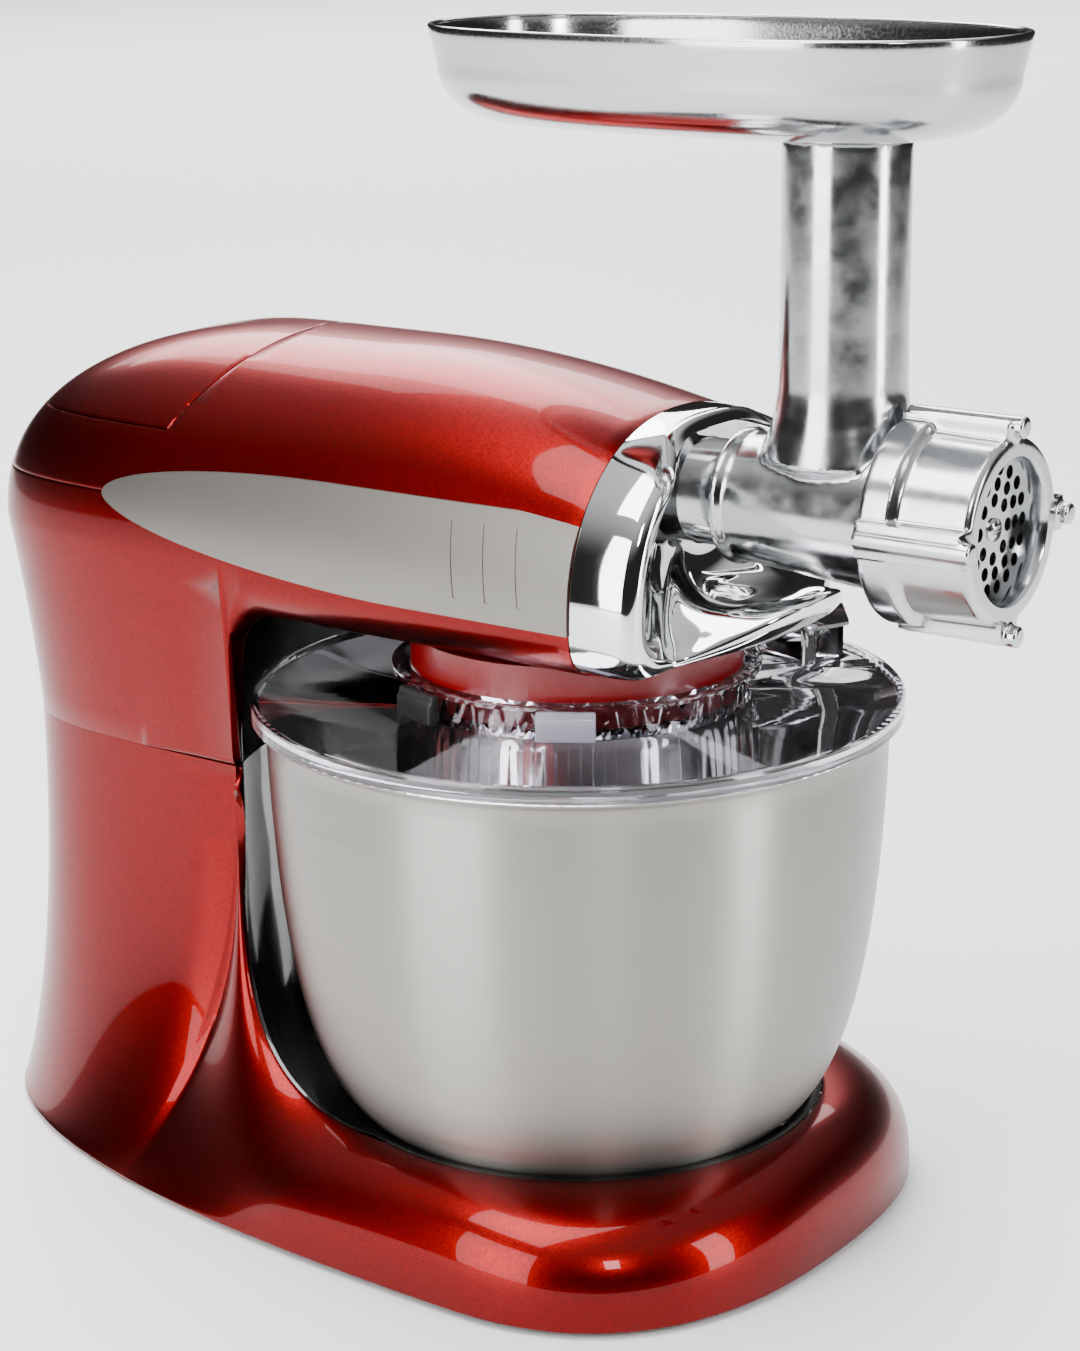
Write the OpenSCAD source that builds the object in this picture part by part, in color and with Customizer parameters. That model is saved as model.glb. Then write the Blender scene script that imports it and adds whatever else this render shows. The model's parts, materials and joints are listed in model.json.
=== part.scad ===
// Stand mixer with a tilting head, a stainless bowl, a clear splash guard and a meat grinder on the front
// drive. Millimetres, +Z up. The front of the mixer looks along -Y, and it stands on Z = 0.

/* [Body] */
// Width of the foot beside the bowl's recess
foot_side = 26; // [20:1:32]
// Width of the foot in front of the bowl's recess
foot_nose = 24; // [18:1:30]
// Height of the rim round the bowl recess
foot_h = 43; // [38:1:50]
// Height of the seam between the base and the head
seam_z = 165; // [158:1:172]
// Half width of the column at the seam
column_half_w = 64; // [58:1:68]
// Wall of the plastic shells
wall = 3; // [2:0.25:3.75]

/* [Head] */
// Half width of the head
head_half_w = 70; // [66:1:76]
// Height of the head's underside
head_bottom_z = 225; // [222:1:230]
// Height of the head's top
head_top_z = 326; // [318:1:340]
// Reach of the head shells in front of the bowl's axis
head_front = 46; // [42:1:50]
// How far the chrome front cap reaches past the head shells
cap_reach = 64; // [58:1:70]
// Angle that the head tips back
tilt_max = 35; // [20:1:40]

/* [Bowl] */
// Radius of the bowl's wall at the top
bowl_r = 116.6; // [96:0.2:124]
// Height of the bowl's rim above the counter
bowl_rim_z = 193; // [180:1:194]
// Thickness of the bowl's steel
bowl_wall = 1; // [0.6:0.1:1.4]

/* [Splash guard] */
// Thickness of the splash guard
lid_wall = 2.4; // [1.6:0.2:3]

/* [Drive] */
// Radius of the collar under the head
skirt_r = 62; // [58:1:64]
// Distance of the tool shaft from the bowl's axis
tool_offset = 32; // [30:1:36]
// Radius of the tool shaft
tool_r = 6; // [5:0.5:8]
// Radius of the main drive shafts
shaft_r = 6; // [5:0.5:7]
// Height of the front drive's axis
port_z = 282; // [276:1:290]

/* [Grinder] */
// Inner radius of the grinder's barrel
barrel_r = 19.5; // [17:0.5:21]
// Distance of the feed tube in front of the bowl's axis
tube_front = 112; // [108:1:116]
// Outer radius of the feed tube
tube_r = 22; // [19:0.5:26]
// Height of the tray's floor
tray_z = 409; // [380:1:440]
// Depth of the tray
tray_depth = 34.5; // [28:0.5:44]
// Half length of the tray's rim, front to back
tray_half_l = 110; // [100:1:132]
// Half width of the tray's rim
tray_half_w = 60; // [52:1:72]
// Front face of the ring nut, in front of the bowl's axis
nut_front = 178; // [174:1:184]
// Radius of the holes in the hole plate
plate_hole_r = 2.4; // [1.5:0.1:3]

/* [Controls] */
// Radius of the speed knob
knob_r = 22; // [18:0.5:25]
// Radius of the release button
button_r = 9; // [7:0.5:11]

/* [Hidden] */
$fn = 96;

// Clearances
run = 0.05;      // radial, a shaft that turns in its bore
gap = 0.4;       // between pieces that only lie near each other
seam = 0.3;      // between two casings that meet at a seam

// Sizes that follow from the bowl's, from the middle of the mixer outwards
rim_bead = 2.4;                       // radius of the bowl's rolled rim
lid_r = bowl_r + rim_bead + 3;        // splash guard
column_front_r = lid_r + 8;           // hollow front of the column
stator_r = 41;
motor_back = column_front_r + stator_r + 7;
head_rear = motor_back + stator_r + 37;
foot_rear = head_rear + 12;
ridge_r = bowl_r - 22.6;              // edge of the recess round the bowl
bowl_foot_r = bowl_r - 56.6;          // the bowl's foot ring
foot_half_w = ridge_r + foot_side;
foot_front = ridge_r + foot_nose;
knob_tip = 4;                         // how far the ring nut's knobs stand out
bowl_axis_back = (foot_rear - nut_front - knob_tip) / 2;

// Foot and column
foot_back_n = 2.5;                    // squareness of the foot's outline behind
foot_front_n = 2.5;                   // and in front
foot_mid = 20;                        // its widest place, in front of the bowl's axis
column_n = 4;                         // squareness of the column's outline
column_mid = sqrt(pow(column_front_r, 2) - pow(column_half_w, 2)) + 2; // its straight sides end here
column_rear = head_rear - 10;         // reach of the column at the seam
foot_lift = 1.5;                      // gap between the foot's edge and the counter
hinge_pin_r = 3;
knuckle_r = 5;
hinge_y = column_rear - wall - knuckle_r - 3;
hinge_z = seam_z;
liner_t = 2.5;                        // wall of the black liners
recess_r = ridge_r - wall - seam - liner_t;
recess_floor = 23;

// Head
head_side_z = 246;                    // where the head is widest
head_n = 2.2;                         // roundness of the top
head_edge = 15;                       // round along the lower edge
corner_steps = [17, 11, 6, 3.2, 2, 0]; // places round the corner between the head and the column
crown_y = 75;                         // the top falls from here to the front
crown_fall = 14.5;
tail_y = column_mid + 3;               // and from here to the rear
split_z = 266;                        // seam between the lower and the upper shell
cover_z = 292;                        // lower edge of the rear cover
cover_y = motor_back + 16;            // middle of the rear cover's round front edge
cover_r = 76;

// Panel on each side of the head
panel_low = 242;
panel_high = 282;
panel_rear = 174;
panel_t = 1;

// Gears, all with parallel teeth of the same depth
main_teeth = 60;
pinion_teeth = 12;
gear_module = 1.25;
ring_teeth = 60;
planet_teeth = ring_teeth / 3;
planet_r = tool_offset / 2;
pinion_r = pinion_teeth * gear_module / 2;
lay_y = gear_module * (main_teeth + pinion_teeth) / 2;
belt_wheel_r = 30;
motor_pulley_r = 8;
belt_t = 2.4;
belt_z = 253;
belt_h = 10;
bevel_r = 14;
bevel_teeth = 24;

// Heights in the head
floor_z = head_bottom_z + wall;
skirt_z = 203;                        // lower edge of the collar
carrier_z = skirt_z - 4;              // lower face of the planet carrier
ring_z = skirt_z + 8;
ring_h = head_bottom_z - wall - 0.5 - ring_z;
gear_z = floor_z + 5;
gear_h = 9;
case_top = gear_z + gear_h + 4;
case_half = lay_y - pinion_r + 5.5;
tool_low_z = 160;

// Splash guard
lid_z = bowl_rim_z + 3.2;             // underside of the flat part
collar_top = 212;
chute_turn = -20;                     // direction of the feed chute from +X
chute_r = bowl_r - 13.6;
chute_half = [9, 20];                // half its size, outwards and along the rim
chute_h = 14;
flap_tip = 16;
flap_pin_r = 1.4;

// Bowl
foot_ring_z = recess_floor + 2;
bowl_floor = recess_floor + 9.5;
catch_angle = 22;

// Front drive and grinder
hub_r = 19;
hub_bore = 15.5;
hub_front = head_front + 25;
well_r = 34;                          // round well in the cap's face
well_y = head_front + 11;
square = 8;
flange_y = hub_front + 1;             // rear face of the grinder's flange
nut_back = nut_front - 40;
plate_front = nut_front - 7.4;
plate_t = 5.6;
knife_t = 3.4;
thread_r = 29;
plate_r = 26;
barrel_wall = 3.2;
nut_lip_r = 24.6;
lug_reach = 41;

// Motor
motor_low = 184;
motor_h = 44;
rotor_r = 23;

// Controls on the +X side
knob_y = motor_back + 2;
knob_z = 90;
bezel_r = knob_r + 8;
bezel_x = column_half_w + 1;
button_y = column_front_r + 20;
button_z = seam_z - 27;
button_x = 50;                        // its inner end
spring_x = 34;                        // the spring's fixed end
gland_x = 40;

// Everything is drawn about the bowl's axis and then moved to its place
module on_axis() {
    translate([0, -bowl_axis_back, 0])
        children();
}

// ---- Shapes used by several pieces ----

function lerp(a, b, t) = a + (b - a) * t;
function bezier(p, t) =
    p[0] * pow(1 - t, 3) + p[1] * 3 * t * pow(1 - t, 2) + p[2] * 3 * t * t * (1 - t) + p[3] * pow(t, 3);
// Quarter of a superellipse: angle 0 lies on the first axis, 90 on the second
function quarter(a, rx, ry, n) = [rx * pow(cos(a), 2 / n), ry * pow(sin(a), 2 / n)];
function flipped(p) = [-p[0], p[1], p[2]];
// A whole ring from its +X half, which runs from the front to the rear
function whole(half) = concat(half, [for (i = [len(half) - 1 : -1 : 0]) flipped(half[i])]);
function quad(a, b, c, d) = [[a, b, c], [a, c, d]];

// A closed skin through a stack of rings, lowest first. Strips across X close the first and the last.
module loft(rings) {
    m = len(rings[0]);
    last = (len(rings) - 1) * m;
    points = [for (r = rings) each r];
    sides = [for (j = [0 : len(rings) - 2], i = [0 : m - 1])
        let (a = j * m + i, b = j * m + (i + 1) % m)
            each quad(a, a + m, b + m, b)];
    low = [for (i = [0 : m / 2 - 2]) each quad(i, i + 1, m - 2 - i, m - 1 - i)];
    high = [for (f = low) [for (k = [2 : -1 : 0]) f[k] + last]];
    polyhedron(points, concat(sides, low, high), convexity = 8);
}

// A gear's outline (or the room inside a ring gear), with straight-sided teeth from radius r0 to r1
module gear_2d(teeth, r0, r1, thick) {
    pitch = 360 / teeth;
    polygon([for (i = [0 : teeth - 1], c = [[-0.33, r0], [-0.19, r1], [0.19, r1], [0.33, r0]])
        let (a = (i + c[0] * thick * 2) * pitch)
            [c[1] * cos(a), c[1] * sin(a)]]);
}

module tube(r_out, r_in, h) {
    difference() {
        cylinder(r = r_out, h = h);
        translate([0, 0, -1])
            cylinder(r = r_in, h = h + 2);
    }
}

// Turns a shape that was drawn along Z so that it runs forwards, at the height of the front drive
module forwards(y) {
    translate([0, -y, port_z])
        rotate([90, 0, 0])
            children();
}

// ---- Base ----

foot_steps = 12;      // points along each stretch of the half outline

// Outline of the foot at the counter, by the stretch s: 0 to 1 front, 1 to 2 side, 2 to 3 rear
function foot_angle(s) = s < 1 ? lerp(-90, 12, s) : s < 2 ? lerp(12, 32, s - 1) : lerp(32, 90, s - 2);
function foot_point(s, d) =
    let (a = foot_angle(s), front = a < 0, n = front ? foot_front_n : foot_back_n,
        q = quarter(abs(a), foot_half_w - d, (front ? foot_front - foot_mid : foot_rear + foot_mid) - d, n))
    [q[0], (front ? -q[1] : q[1]) - foot_mid];

// The upper edge: the ridge round the bowl, then up the sides of the column, then along the seam
climb = [[ridge_r * cos(14), ridge_r * sin(14), foot_h], [ridge_r - 4, 92, foot_h],
    [column_half_w, column_mid + 2, 72], [column_half_w, column_mid, seam_z]];
function edge_point(s, d) =
    s < 1 ? let (a = lerp(-90, 14, s)) [(ridge_r - d) * cos(a), (ridge_r - d) * sin(a), foot_h]
    : s < 2 ? bezier(climb, s - 1) - [d, 0, 0]
    : let (q = quarter(lerp(0, 90, s - 2), column_half_w - d, column_rear - column_mid - d, column_n))
        [q[0], column_mid + q[1], seam_z];

// How much of the push goes to the column's front, which stands upright
function upright(s) = s < 1.2 ? 0 : s < 1.8 ? (s - 1.2) / 0.6 : s < 2 ? 1 : max(0, 1 - (s - 2) * 6);

// d insets the whole form, push moves its upper edge out of (or into) it
function base_rings(d, push) =
    let (half = [for (k = [0 : 3 * foot_steps - 1]) (k + 0.5) / foot_steps])
    [for (u = [0, 0.16, 0.32, 0.5, 0.66, 0.8, 0.92, 1])
        whole([for (s = half)
            let (b = foot_point(s, d), t = edge_point(s, d), rear = min(1, max(0, s - 0.9)),
                out = push * (u == 1 ? 1 : 0),
                low = foot_lift - (d > 0 ? 1 : 0),
                h = lerp(1 - pow(1 - pow(u, 2.2), 0.6), 1 - pow(1 - u, 2.2), rear),
                v = lerp(pow(u, 0.75), pow(u, 1.15), rear))
            [lerp(b[0], t[0], h), lerp(b[1], t[1], h) - out * upright(s),
                lerp(low, t[2], v) + out * (1 - upright(s) * (s < 2 ? 1 : 0))]])];

// The room for the bowl, its recess and the splash guard, grown by d. It widens upwards along the climb.
module bowl_room(d) {
    polygon(concat(
        [[0, recess_floor - d], [recess_r - 6 + d, recess_floor - d], [recess_r + d, recess_floor + 8 - d],
            [recess_r + d, foot_h - 1], [ridge_r - 2 + d, foot_h]],
        [for (t = [0.25, 0.5, 0.75])
            let (p = bezier(climb, t))
            [min(column_front_r, norm([p[0], p[1]]) - 1) + d, p[2]]],
        [[column_front_r + d, seam_z - seam], [0, seam_z - seam]]));
}

// Clears the rear edge so that the head can tip back over it
module tilt_clearance() {
    translate([0, hinge_y, hinge_z])
        rotate([-tilt_max - 1, 0, 0])
            translate([-100, 0, 0])
                cube([200, 60, 60]);
}

module base_shell() {
    color("#b3151b")
        on_axis()
            difference() {
                loft(base_rings(0, 0));
                difference() {
                    loft(base_rings(wall, 8));
                    for (p = screw_spots)
                        translate([p[0], p[1], 6])
                            cylinder(r = 5, h = 100);
                }
                for (p = screw_spots)
                    translate([p[0], p[1], 0])
                        cylinder(r = 1.8, h = 17);
                tilt_clearance();
                translate([bezel_x - 20, knob_y, knob_z])
                    rotate([0, 90, 0])
                        cylinder(r = bezel_r + gap, h = 60);
                translate([bezel_x - 20, button_y, button_z])
                    rotate([0, 90, 0])
                        cylinder(r = button_r + gap, h = 60);
                translate([gland_x, foot_rear - 38, 24])
                    rotate([-90, 0, 0])
                        cylinder(r = 8, h = 60);
            }
}

module bowl_surround() {
    color("#141414")
        on_axis()
            intersection() {
                rotate_extrude()
                    difference() {
                        bowl_room(liner_t);
                        bowl_room(0);
                    }
                loft(base_rings(wall + seam, 1));
            }
}

// Where the rubber feet and the plate's screws sit
foot_spots = [for (side = [-1, 1], p = [[foot_half_w - 58, 35 - foot_front], [foot_half_w - 20, 0],
    [foot_half_w - 38, foot_rear - 108]]) [side * p[0], p[1]]];
screw_spots = [for (side = [-1, 1], p = [[30, 21 - foot_front], [foot_half_w - 24, 60],
    [column_half_w + 6, foot_rear - 58]]) [side * p[0], p[1]]];

module foot_outline(d) {
    half = [for (k = [0 : 3 * foot_steps - 1]) foot_point((k + 0.5) / foot_steps, d)];
    polygon(concat(half, [for (i = [len(half) - 1 : -1 : 0]) [-half[i][0], half[i][1]]]));
}

module base_plate() {
    color("#202020")
        on_axis()
            difference() {
                translate([0, 0, 3])
                    linear_extrude(3)
                        foot_outline(wall + 6);
                for (x = [-45 : 15 : 45])
                    translate([x, 150, 0])
                        linear_extrude(9)
                            square([5, 60], center = true);
                for (p = foot_spots)
                    translate([p[0], p[1], 0])
                        cylinder(r = 4, h = 9);
                for (p = screw_spots)
                    translate([p[0], p[1], 0])
                        cylinder(r = 2.2, h = 9);
            }
}

module rubber_feet() {
    color("#101010")
        on_axis()
            for (p = foot_spots)
                translate([p[0], p[1], 0]) {
                    cylinder(r = 11, h = 3);
                    cylinder(r = 4, h = 8);
                }
}

module base_screws() {
    color("#8a8a8a")
        on_axis()
            for (p = screw_spots)
                translate([p[0], p[1], 0.8])
                    difference() {
                        union() {
                            cylinder(r = 3.6, h = 2.2);
                            cylinder(r = 1.8, h = 16);
                        }
                        translate([0, 0, -1])
                            cylinder(r = 1.5, h = 2, $fn = 6);
                    }
}

module bowl_seat() {
    color("#3a3a3a")
        on_axis()
            translate([0, 0, recess_floor]) {
                rotate_extrude()
                    translate([bowl_foot_r, 0])
                        polygon([[-12, 0], [9, 0], [9, 8], [5, 8], [5, 2], [-12, 2]]);
                for (a = [0 : 120 : 240])
                    rotate([0, 0, a - catch_angle / 2])
                        translate([0, 0, 6.2])
                            rotate_extrude(angle = catch_angle)
                                translate([bowl_foot_r + 1, 0])
                                    square([6, 1.4]);
            }
}

module hinge_bracket() {
    color("#70757a")
        on_axis()
            difference() {
                union() {
                    for (x = [-30, 22])
                        translate([x, 0, 0]) {
                            translate([0, hinge_y, hinge_z])
                                rotate([0, 90, 0])
                                    cylinder(r = knuckle_r, h = 8);
                            translate([0, hinge_y - knuckle_r, 118])
                                cube([8, 2 * knuckle_r - 1.5, hinge_z - 118]);
                        }
                    translate([-30, hinge_y - 12, 118])
                        cube([60, 9, 34]);
                    translate([spring_x - 3, button_y - 8, button_z - 5])
                        cube([3, hinge_y - button_y + 2, 10]);
                }
                translate([-40, hinge_y, hinge_z])
                    rotate([0, 90, 0])
                        cylinder(r = hinge_pin_r, h = 80);
            }
}

module hinge_pin() {
    color("#c8cacc")
        on_axis()
            translate([-30, hinge_y, hinge_z])
                rotate([0, 90, 0])
                    cylinder(r = hinge_pin_r, h = 60);
}

module control_board() {
    color("#1f5a2c")
        on_axis() {
            translate([44, knob_y - 26, 56])
                cube([1.6, 58, 60]);
            translate([34, knob_y + 6, 62])
                cube([10, 16, 22]);
            translate([36, knob_y - 22, 62])
                cube([8, 12, 12]);
            translate([45.6, knob_y - 6, knob_z - 6])
                cube([4.2, 12, 12]);
        }
}

module cable_gland() {
    color("#181818")
        on_axis()
            translate([gland_x, foot_rear - 41, 24])
                rotate([-90, 0, 0])
                    difference() {
                        union() {
                            cylinder(r = 8, h = 24);
                            cylinder(r = 11, h = 5);
                        }
                        translate([0, 0, -1])
                            cylinder(r = 3.6, h = 40);
                    }
}

module knob_bezel() {
    color("#c9ccce")
        on_axis()
            translate([bezel_x - 8, knob_y, knob_z])
                rotate([0, 90, 0])
                    difference() {
                        cylinder(r = bezel_r, h = 20);
                        translate([0, 0, -1])
                            cylinder(r = 3 + run, h = 40);
                        translate([0, 0, 14])
                            cylinder(r = knob_r + 1, h = 20);
                    }
}

module speed_knob() {
    color("#1a1a1a")
        on_axis()
            translate([bezel_x + 6.5, knob_y, knob_z])
                rotate([0, 90, 0])
                    difference() {
                        union() {
                            cylinder(r = knob_r, h = 8);
                            translate([0, 0, 8])
                                cylinder(r = knob_r - 3, h = 2);
                            translate([-knob_r + 4, -4, 8])
                                cube([2 * knob_r - 8, 8, 14]);
                        }
                        translate([0, 0, -1])
                            cylinder(r = 3, h = 11);
                    }
}

module knob_spindle() {
    color("#b0b0b0")
        on_axis()
            translate([50, knob_y, knob_z])
                rotate([0, 90, 0])
                    cylinder(r = 3, h = bezel_x + 6.5 + 10 - 50);
}

module release_button() {
    color("#1a1a1a")
        on_axis()
            translate([button_x, button_y, button_z])
                rotate([0, 90, 0]) {
                    cylinder(r = button_r, h = 22);
                    translate([0, 0, -4])
                        cylinder(r = 3, h = 4);
                }
}

module release_spring() {
    color("#b8b8b8")
        on_axis()
            translate([spring_x + 0.1, button_y, button_z])
                rotate([0, 90, 0])
                    linear_extrude(button_x - spring_x - 0.2, twist = -360 * 4, slices = 48, $fn = 8)
                        translate([5, 0])
                            circle(r = 0.9, $fn = 8);
}

// ---- Head ----

// Height of the head's ridge line at y
function ridge_z(y) =
    y < crown_y ? head_top_z - crown_fall * pow((crown_y - y) / (crown_y + head_front), 2) : head_top_z;

// The +X half outline of the head, inset by d: w is its half width, rear its reach, front its flat front end
function head_half(w, rear, front) =
    let (straight = [for (i = [0 : 4]) lerp(-front, column_mid - 25, i / 4)],
        turn = [for (b = corner_steps) column_mid - b],
        corner = [for (i = [1 : 11]) quarter(i * 8, w, rear - column_mid, column_n)])
    concat([for (y = straight) [w, y]], [for (y = turn) [w, y]], [for (q = corner) [q[0], column_mid + q[1]]]);

// Height of the lower edge: level under the head, round a corner, then down the column's front
function under_z(i, d) =
    i < 6 ? head_bottom_z + d
    : i < 10 ? head_bottom_z + d - head_edge
        + sqrt(max(0, pow(head_edge, 2) - pow(head_edge + corner_steps[4] - corner_steps[i - 5], 2)))
    : seam_z;

// Part of point i that belongs to the column: 0 on the head's arm, 1 behind
function on_column(i) = i < 7 ? 0 : min(1, (i - 6) / 5);

// Below its widest level the head narrows over the column. d insets the form, front is where its flat front
// end lies, and sink lowers the edge over the column.
function low_ring(share, a, d, front, sink) =
    let (rear = lerp(column_rear, head_rear, pow(share, 1.6)) - d, points = head_half(head_half_w - d, rear, front),
        bend = head_edge - d)
    whole([for (i = [0 : 21])
        let (p = points[i], c = on_column(i), slim = 1 - (1 - column_half_w / head_half_w) * c * (1 - share),
            edge = bend * (1 - c), foot = under_z(i, d) - (i < 5 ? 0 : sink))
        [p[0] * slim - edge * (1 - sin(a)) * (share == 0 ? 1 : 0), p[1],
            lerp(foot + edge * (1 - cos(a)), head_side_z, share)]]);
function top_ring(a, d, front) =
    let (points = head_half((head_half_w - d) * pow(cos(a), 2 / head_n),
        lerp(tail_y, head_rear - d, pow(cos(a), 0.9)), front))
    whole([for (p = points)
        [p[0], p[1], head_side_z + (ridge_z(p[1]) - d - head_side_z) * pow(sin(a), 2 / head_n)]]);
function head_rings(d, front, sink) = concat(
    [for (a = [0, 30, 60, 90]) low_ring(0, a, d, front, sink)],
    [for (share = [0.25, 0.5, 0.75]) low_ring(share, 90, d, front, sink)],
    [for (a = [0 : 9 : 81]) top_ring(a, d, front)],
    [top_ring(89.6, d, front)]);

module head_form(d, front = head_front, sink = 0) {
    loft(head_rings(d, front, sink));
}

// What the rear cover takes out of the upper shell, grown by d
module cover_space(d) {
    translate([0, 0, cover_z - d]) {
        translate([0, cover_y, 0])
            cylinder(r = cover_r + d, h = 80);
        translate([-100, cover_y, 0])
            cube([200, 200, 80]);
    }
}

module head_lower_shell() {
    color("#b3151b")
        on_axis()
            difference() {
                head_form(0);
                head_form(wall, head_front + 20, 10);
                translate([-150, -150, split_z])
                    cube([300, 500, 150]);
                translate([0, 0, head_bottom_z - 5])
                    cylinder(r = 12, h = 20);
                cylinder(r = column_front_r, h = head_bottom_z - head_edge);
            }
}

// Closes the head's neck over the bowl
module head_liner() {
    color("#141414")
        on_axis()
            intersection() {
                head_form(wall + seam, head_front, 0);
                difference() {
                    translate([0, 0, seam_z + seam])
                        cylinder(r = column_front_r + liner_t, h = head_bottom_z + liner_t - seam_z - seam);
                    cylinder(r = column_front_r, h = head_bottom_z);
                    translate([-200, column_mid - 322, 0])
                        cube([400, 300, 400]);
                }
            }
}

module head_upper_shell() {
    color("#b3151b")
        on_axis()
            difference() {
                head_form(0);
                head_form(wall, head_front + 20, 10);
                translate([-150, -150, 0])
                    cube([300, 500, split_z + seam]);
                cover_space(seam);
            }
}

module rear_cover() {
    color("#b3151b")
        on_axis()
            intersection() {
                difference() {
                    head_form(0);
                    head_form(wall);
                }
                cover_space(0);
            }
}

module blender_deck() {
    color("#202020")
        on_axis()
            difference() {
                intersection() {
                    head_form(wall + gap);
                    translate([-100, 66, cover_z - 8])
                        cube([200, 200, 2.5]);
                }
                translate([0, motor_back, 0])
                    cylinder(r = 16, h = 400);
            }
}

// The panel's outline seen from the side, with Y across and Z up
module panel_outline() {
    polygon(concat(
        [[-head_front + 1, panel_low], [-head_front + 1, panel_high]],
        [for (a = [90 : -9 : 0])
            let (q = quarter(a, panel_rear - 60, panel_high - 266, 2))
            [60 + q[0], 266 + q[1]]],
        [for (a = [9 : 9 : 90])
            let (q = quarter(a, panel_rear - 30, 266 - panel_low, 1.7))
            [30 + q[0], 266 - q[1]]]));
}

module side_panel() {
    difference() {
        intersection() {
            head_form(-panel_t);
            rotate([90, 0, 90])
                linear_extrude(head_half_w + 10)
                    panel_outline();
        }
        head_form(0);
    }
}

module side_panel_right() {
    color("#c4c2bd")
        on_axis()
            side_panel();
}

module side_panel_left() {
    color("#c4c2bd")
        on_axis()
            mirror([1, 0, 0])
                side_panel();
}

// Outline of the head's front end, inset by d
module head_section(d) {
    half = [for (r = head_rings(0, head_front, 0)) [r[0][0], r[0][2]]];
    offset(delta = -d)
        polygon(concat(half, [for (i = [len(half) - 1 : -1 : 0]) [-half[i][0], half[i][1]]]));
}

cap_front = head_front + cap_reach;

// The cap: the head's section carried forwards, cut to a round nose and a scooped face
module cap_form(d) {
    intersection() {
        rotate([90, 0, 0])
            linear_extrude(cap_front + 10)
                head_section(d);
        linear_extrude(400)
            offset(delta = -d)
                polygon([for (a = [-90 : 6 : 90])
                    [sign(a) * (head_half_w + 2) * pow(sin(abs(a)), 2 / 2.6),
                        -head_front + 6 - (cap_reach + 6) * pow(cos(a), 2 / 2.6)]]);
        rotate([90, 0, 90])
            linear_extrude(200, center = true)
                offset(delta = -d)
                    polygon(concat(
                        [[-head_front + 6, head_bottom_z - 12], [-head_front, head_bottom_z - 2]],
                        [for (t = [0 : 0.125 : 1])
                            bezier([[-head_front - 14, head_bottom_z], [-head_front - 40, head_bottom_z + 6],
                                [-cap_front + 2, head_bottom_z + 18], [-cap_front, head_bottom_z + 30]], t)],
                        [for (t = [0 : 0.125 : 1])
                            bezier([[-cap_front + 3, head_bottom_z + 34], [-head_front - 36, head_bottom_z + 42],
                                [-head_front - 26, port_z - 4], [-head_front - 24, port_z + 22]], t)],
                        [[-head_front - 18, 300], [-head_front - 10, 330], [-head_front + 6, 330]]));
    }
}

module front_cap() {
    color("#d9dadb")
        on_axis()
            difference() {
                union() {
                    difference() {
                        cap_form(0);
                        translate([0, 4, 0])
                            cap_form(2.4);
                    }
                    intersection() {
                        cap_form(0);
                        forwards(well_y - 2.4)
                            cylinder(r = well_r + 2.4, h = 100);
                    }
                }
                forwards(well_y)
                    cylinder(r = well_r, h = 100);
                translate([-100, -head_front - seam, 0])
                    cube([200, 200, 400]);
                forwards(head_front)
                    cylinder(r = hub_r + gap, h = 100);
            }
}

module attachment_hub() {
    color("#d5d6d8")
        on_axis()
            forwards(head_front)
                difference() {
                    union() {
                        cylinder(r = hub_r, h = hub_front - head_front);
                        cylinder(r = hub_r + 6, h = 3);
                    }
                    translate([0, 0, -1])
                        cylinder(r = 8 + run, h = 40);
                    translate([0, 0, 10])
                        cylinder(r = hub_bore, h = 40);
                }
}

module motor_stator() {
    color("#8d6a4a")
        on_axis()
            translate([0, motor_back, motor_low])
                difference() {
                    intersection() {
                        cylinder(r = stator_r, h = motor_h);
                        translate([0, 0, motor_h / 2])
                            cube([2 * stator_r - 6, 2 * stator_r, motor_h], center = true);
                    }
                    translate([0, 0, -1])
                        cylinder(r = rotor_r + 1, h = motor_h + 2);
                    for (y = [-1, 1])
                        translate([0, y * (rotor_r + 8), motor_h / 2])
                            cube([26, 6, motor_h + 2], center = true);
                }
}

module motor_brushes() {
    color("#2a2a2a")
        on_axis()
            for (side = [-1, 1])
                translate([side * 20.4, motor_back, motor_low + motor_h + 8])
                    cube([18, 9, 9], center = true);
}

module gearbox_case() {
    color("#9a9da0")
        on_axis()
            difference() {
                translate([-case_half, -case_half, floor_z + 0.4])
                    cube([2 * case_half, lay_y + case_half + 14, case_top - floor_z]);
                translate([3 - case_half, 3 - case_half, floor_z + 3])
                    cube([2 * case_half - 6, lay_y + case_half + 8, case_top - floor_z - 5]);
                translate([0, 0, floor_z - 1])
                    cylinder(r = shaft_r + run, h = 60);
                translate([0, lay_y, floor_z - 1])
                    cylinder(r = 5 + run, h = 60);
            }
}

// A frame of the motor: a bar with the bearing in it, and a post at each end that stands on the stator
module motor_frame(z, h, post_z, post_h) {
    translate([-38, motor_back - 11, z])
        cube([76, 22, h]);
    for (x = [-38, 33])
        translate([x, motor_back - 6, post_z])
            cube([5, 12, post_h]);
}

module shaft_bearings() {
    color("#cfd2d5")
        on_axis() {
            translate([0, lay_y, case_top + 0.4])
                tube(11, 5 + run, 4);
            difference() {
                union() {
                    motor_frame(168.5, 4.5, 170, motor_low - 170);
                    motor_frame(268, 7, motor_low + motor_h, 42);
                }
                translate([0, motor_back, 100])
                    cylinder(r = shaft_r + run, h = 300);
            }
        }
}

module ring_gear() {
    color("#a7a9ac")
        on_axis()
            translate([0, 0, ring_z])
                difference() {
                    cylinder(r = skirt_r - wall - 0.3, h = ring_h);
                    translate([0, 0, -1])
                        linear_extrude(ring_h + 2)
                            rotate([0, 0, -90])
                                gear_2d(ring_teeth, tool_offset + planet_r - 1.6, tool_offset + planet_r + 1.6, 0.56);
                }
}

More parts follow.
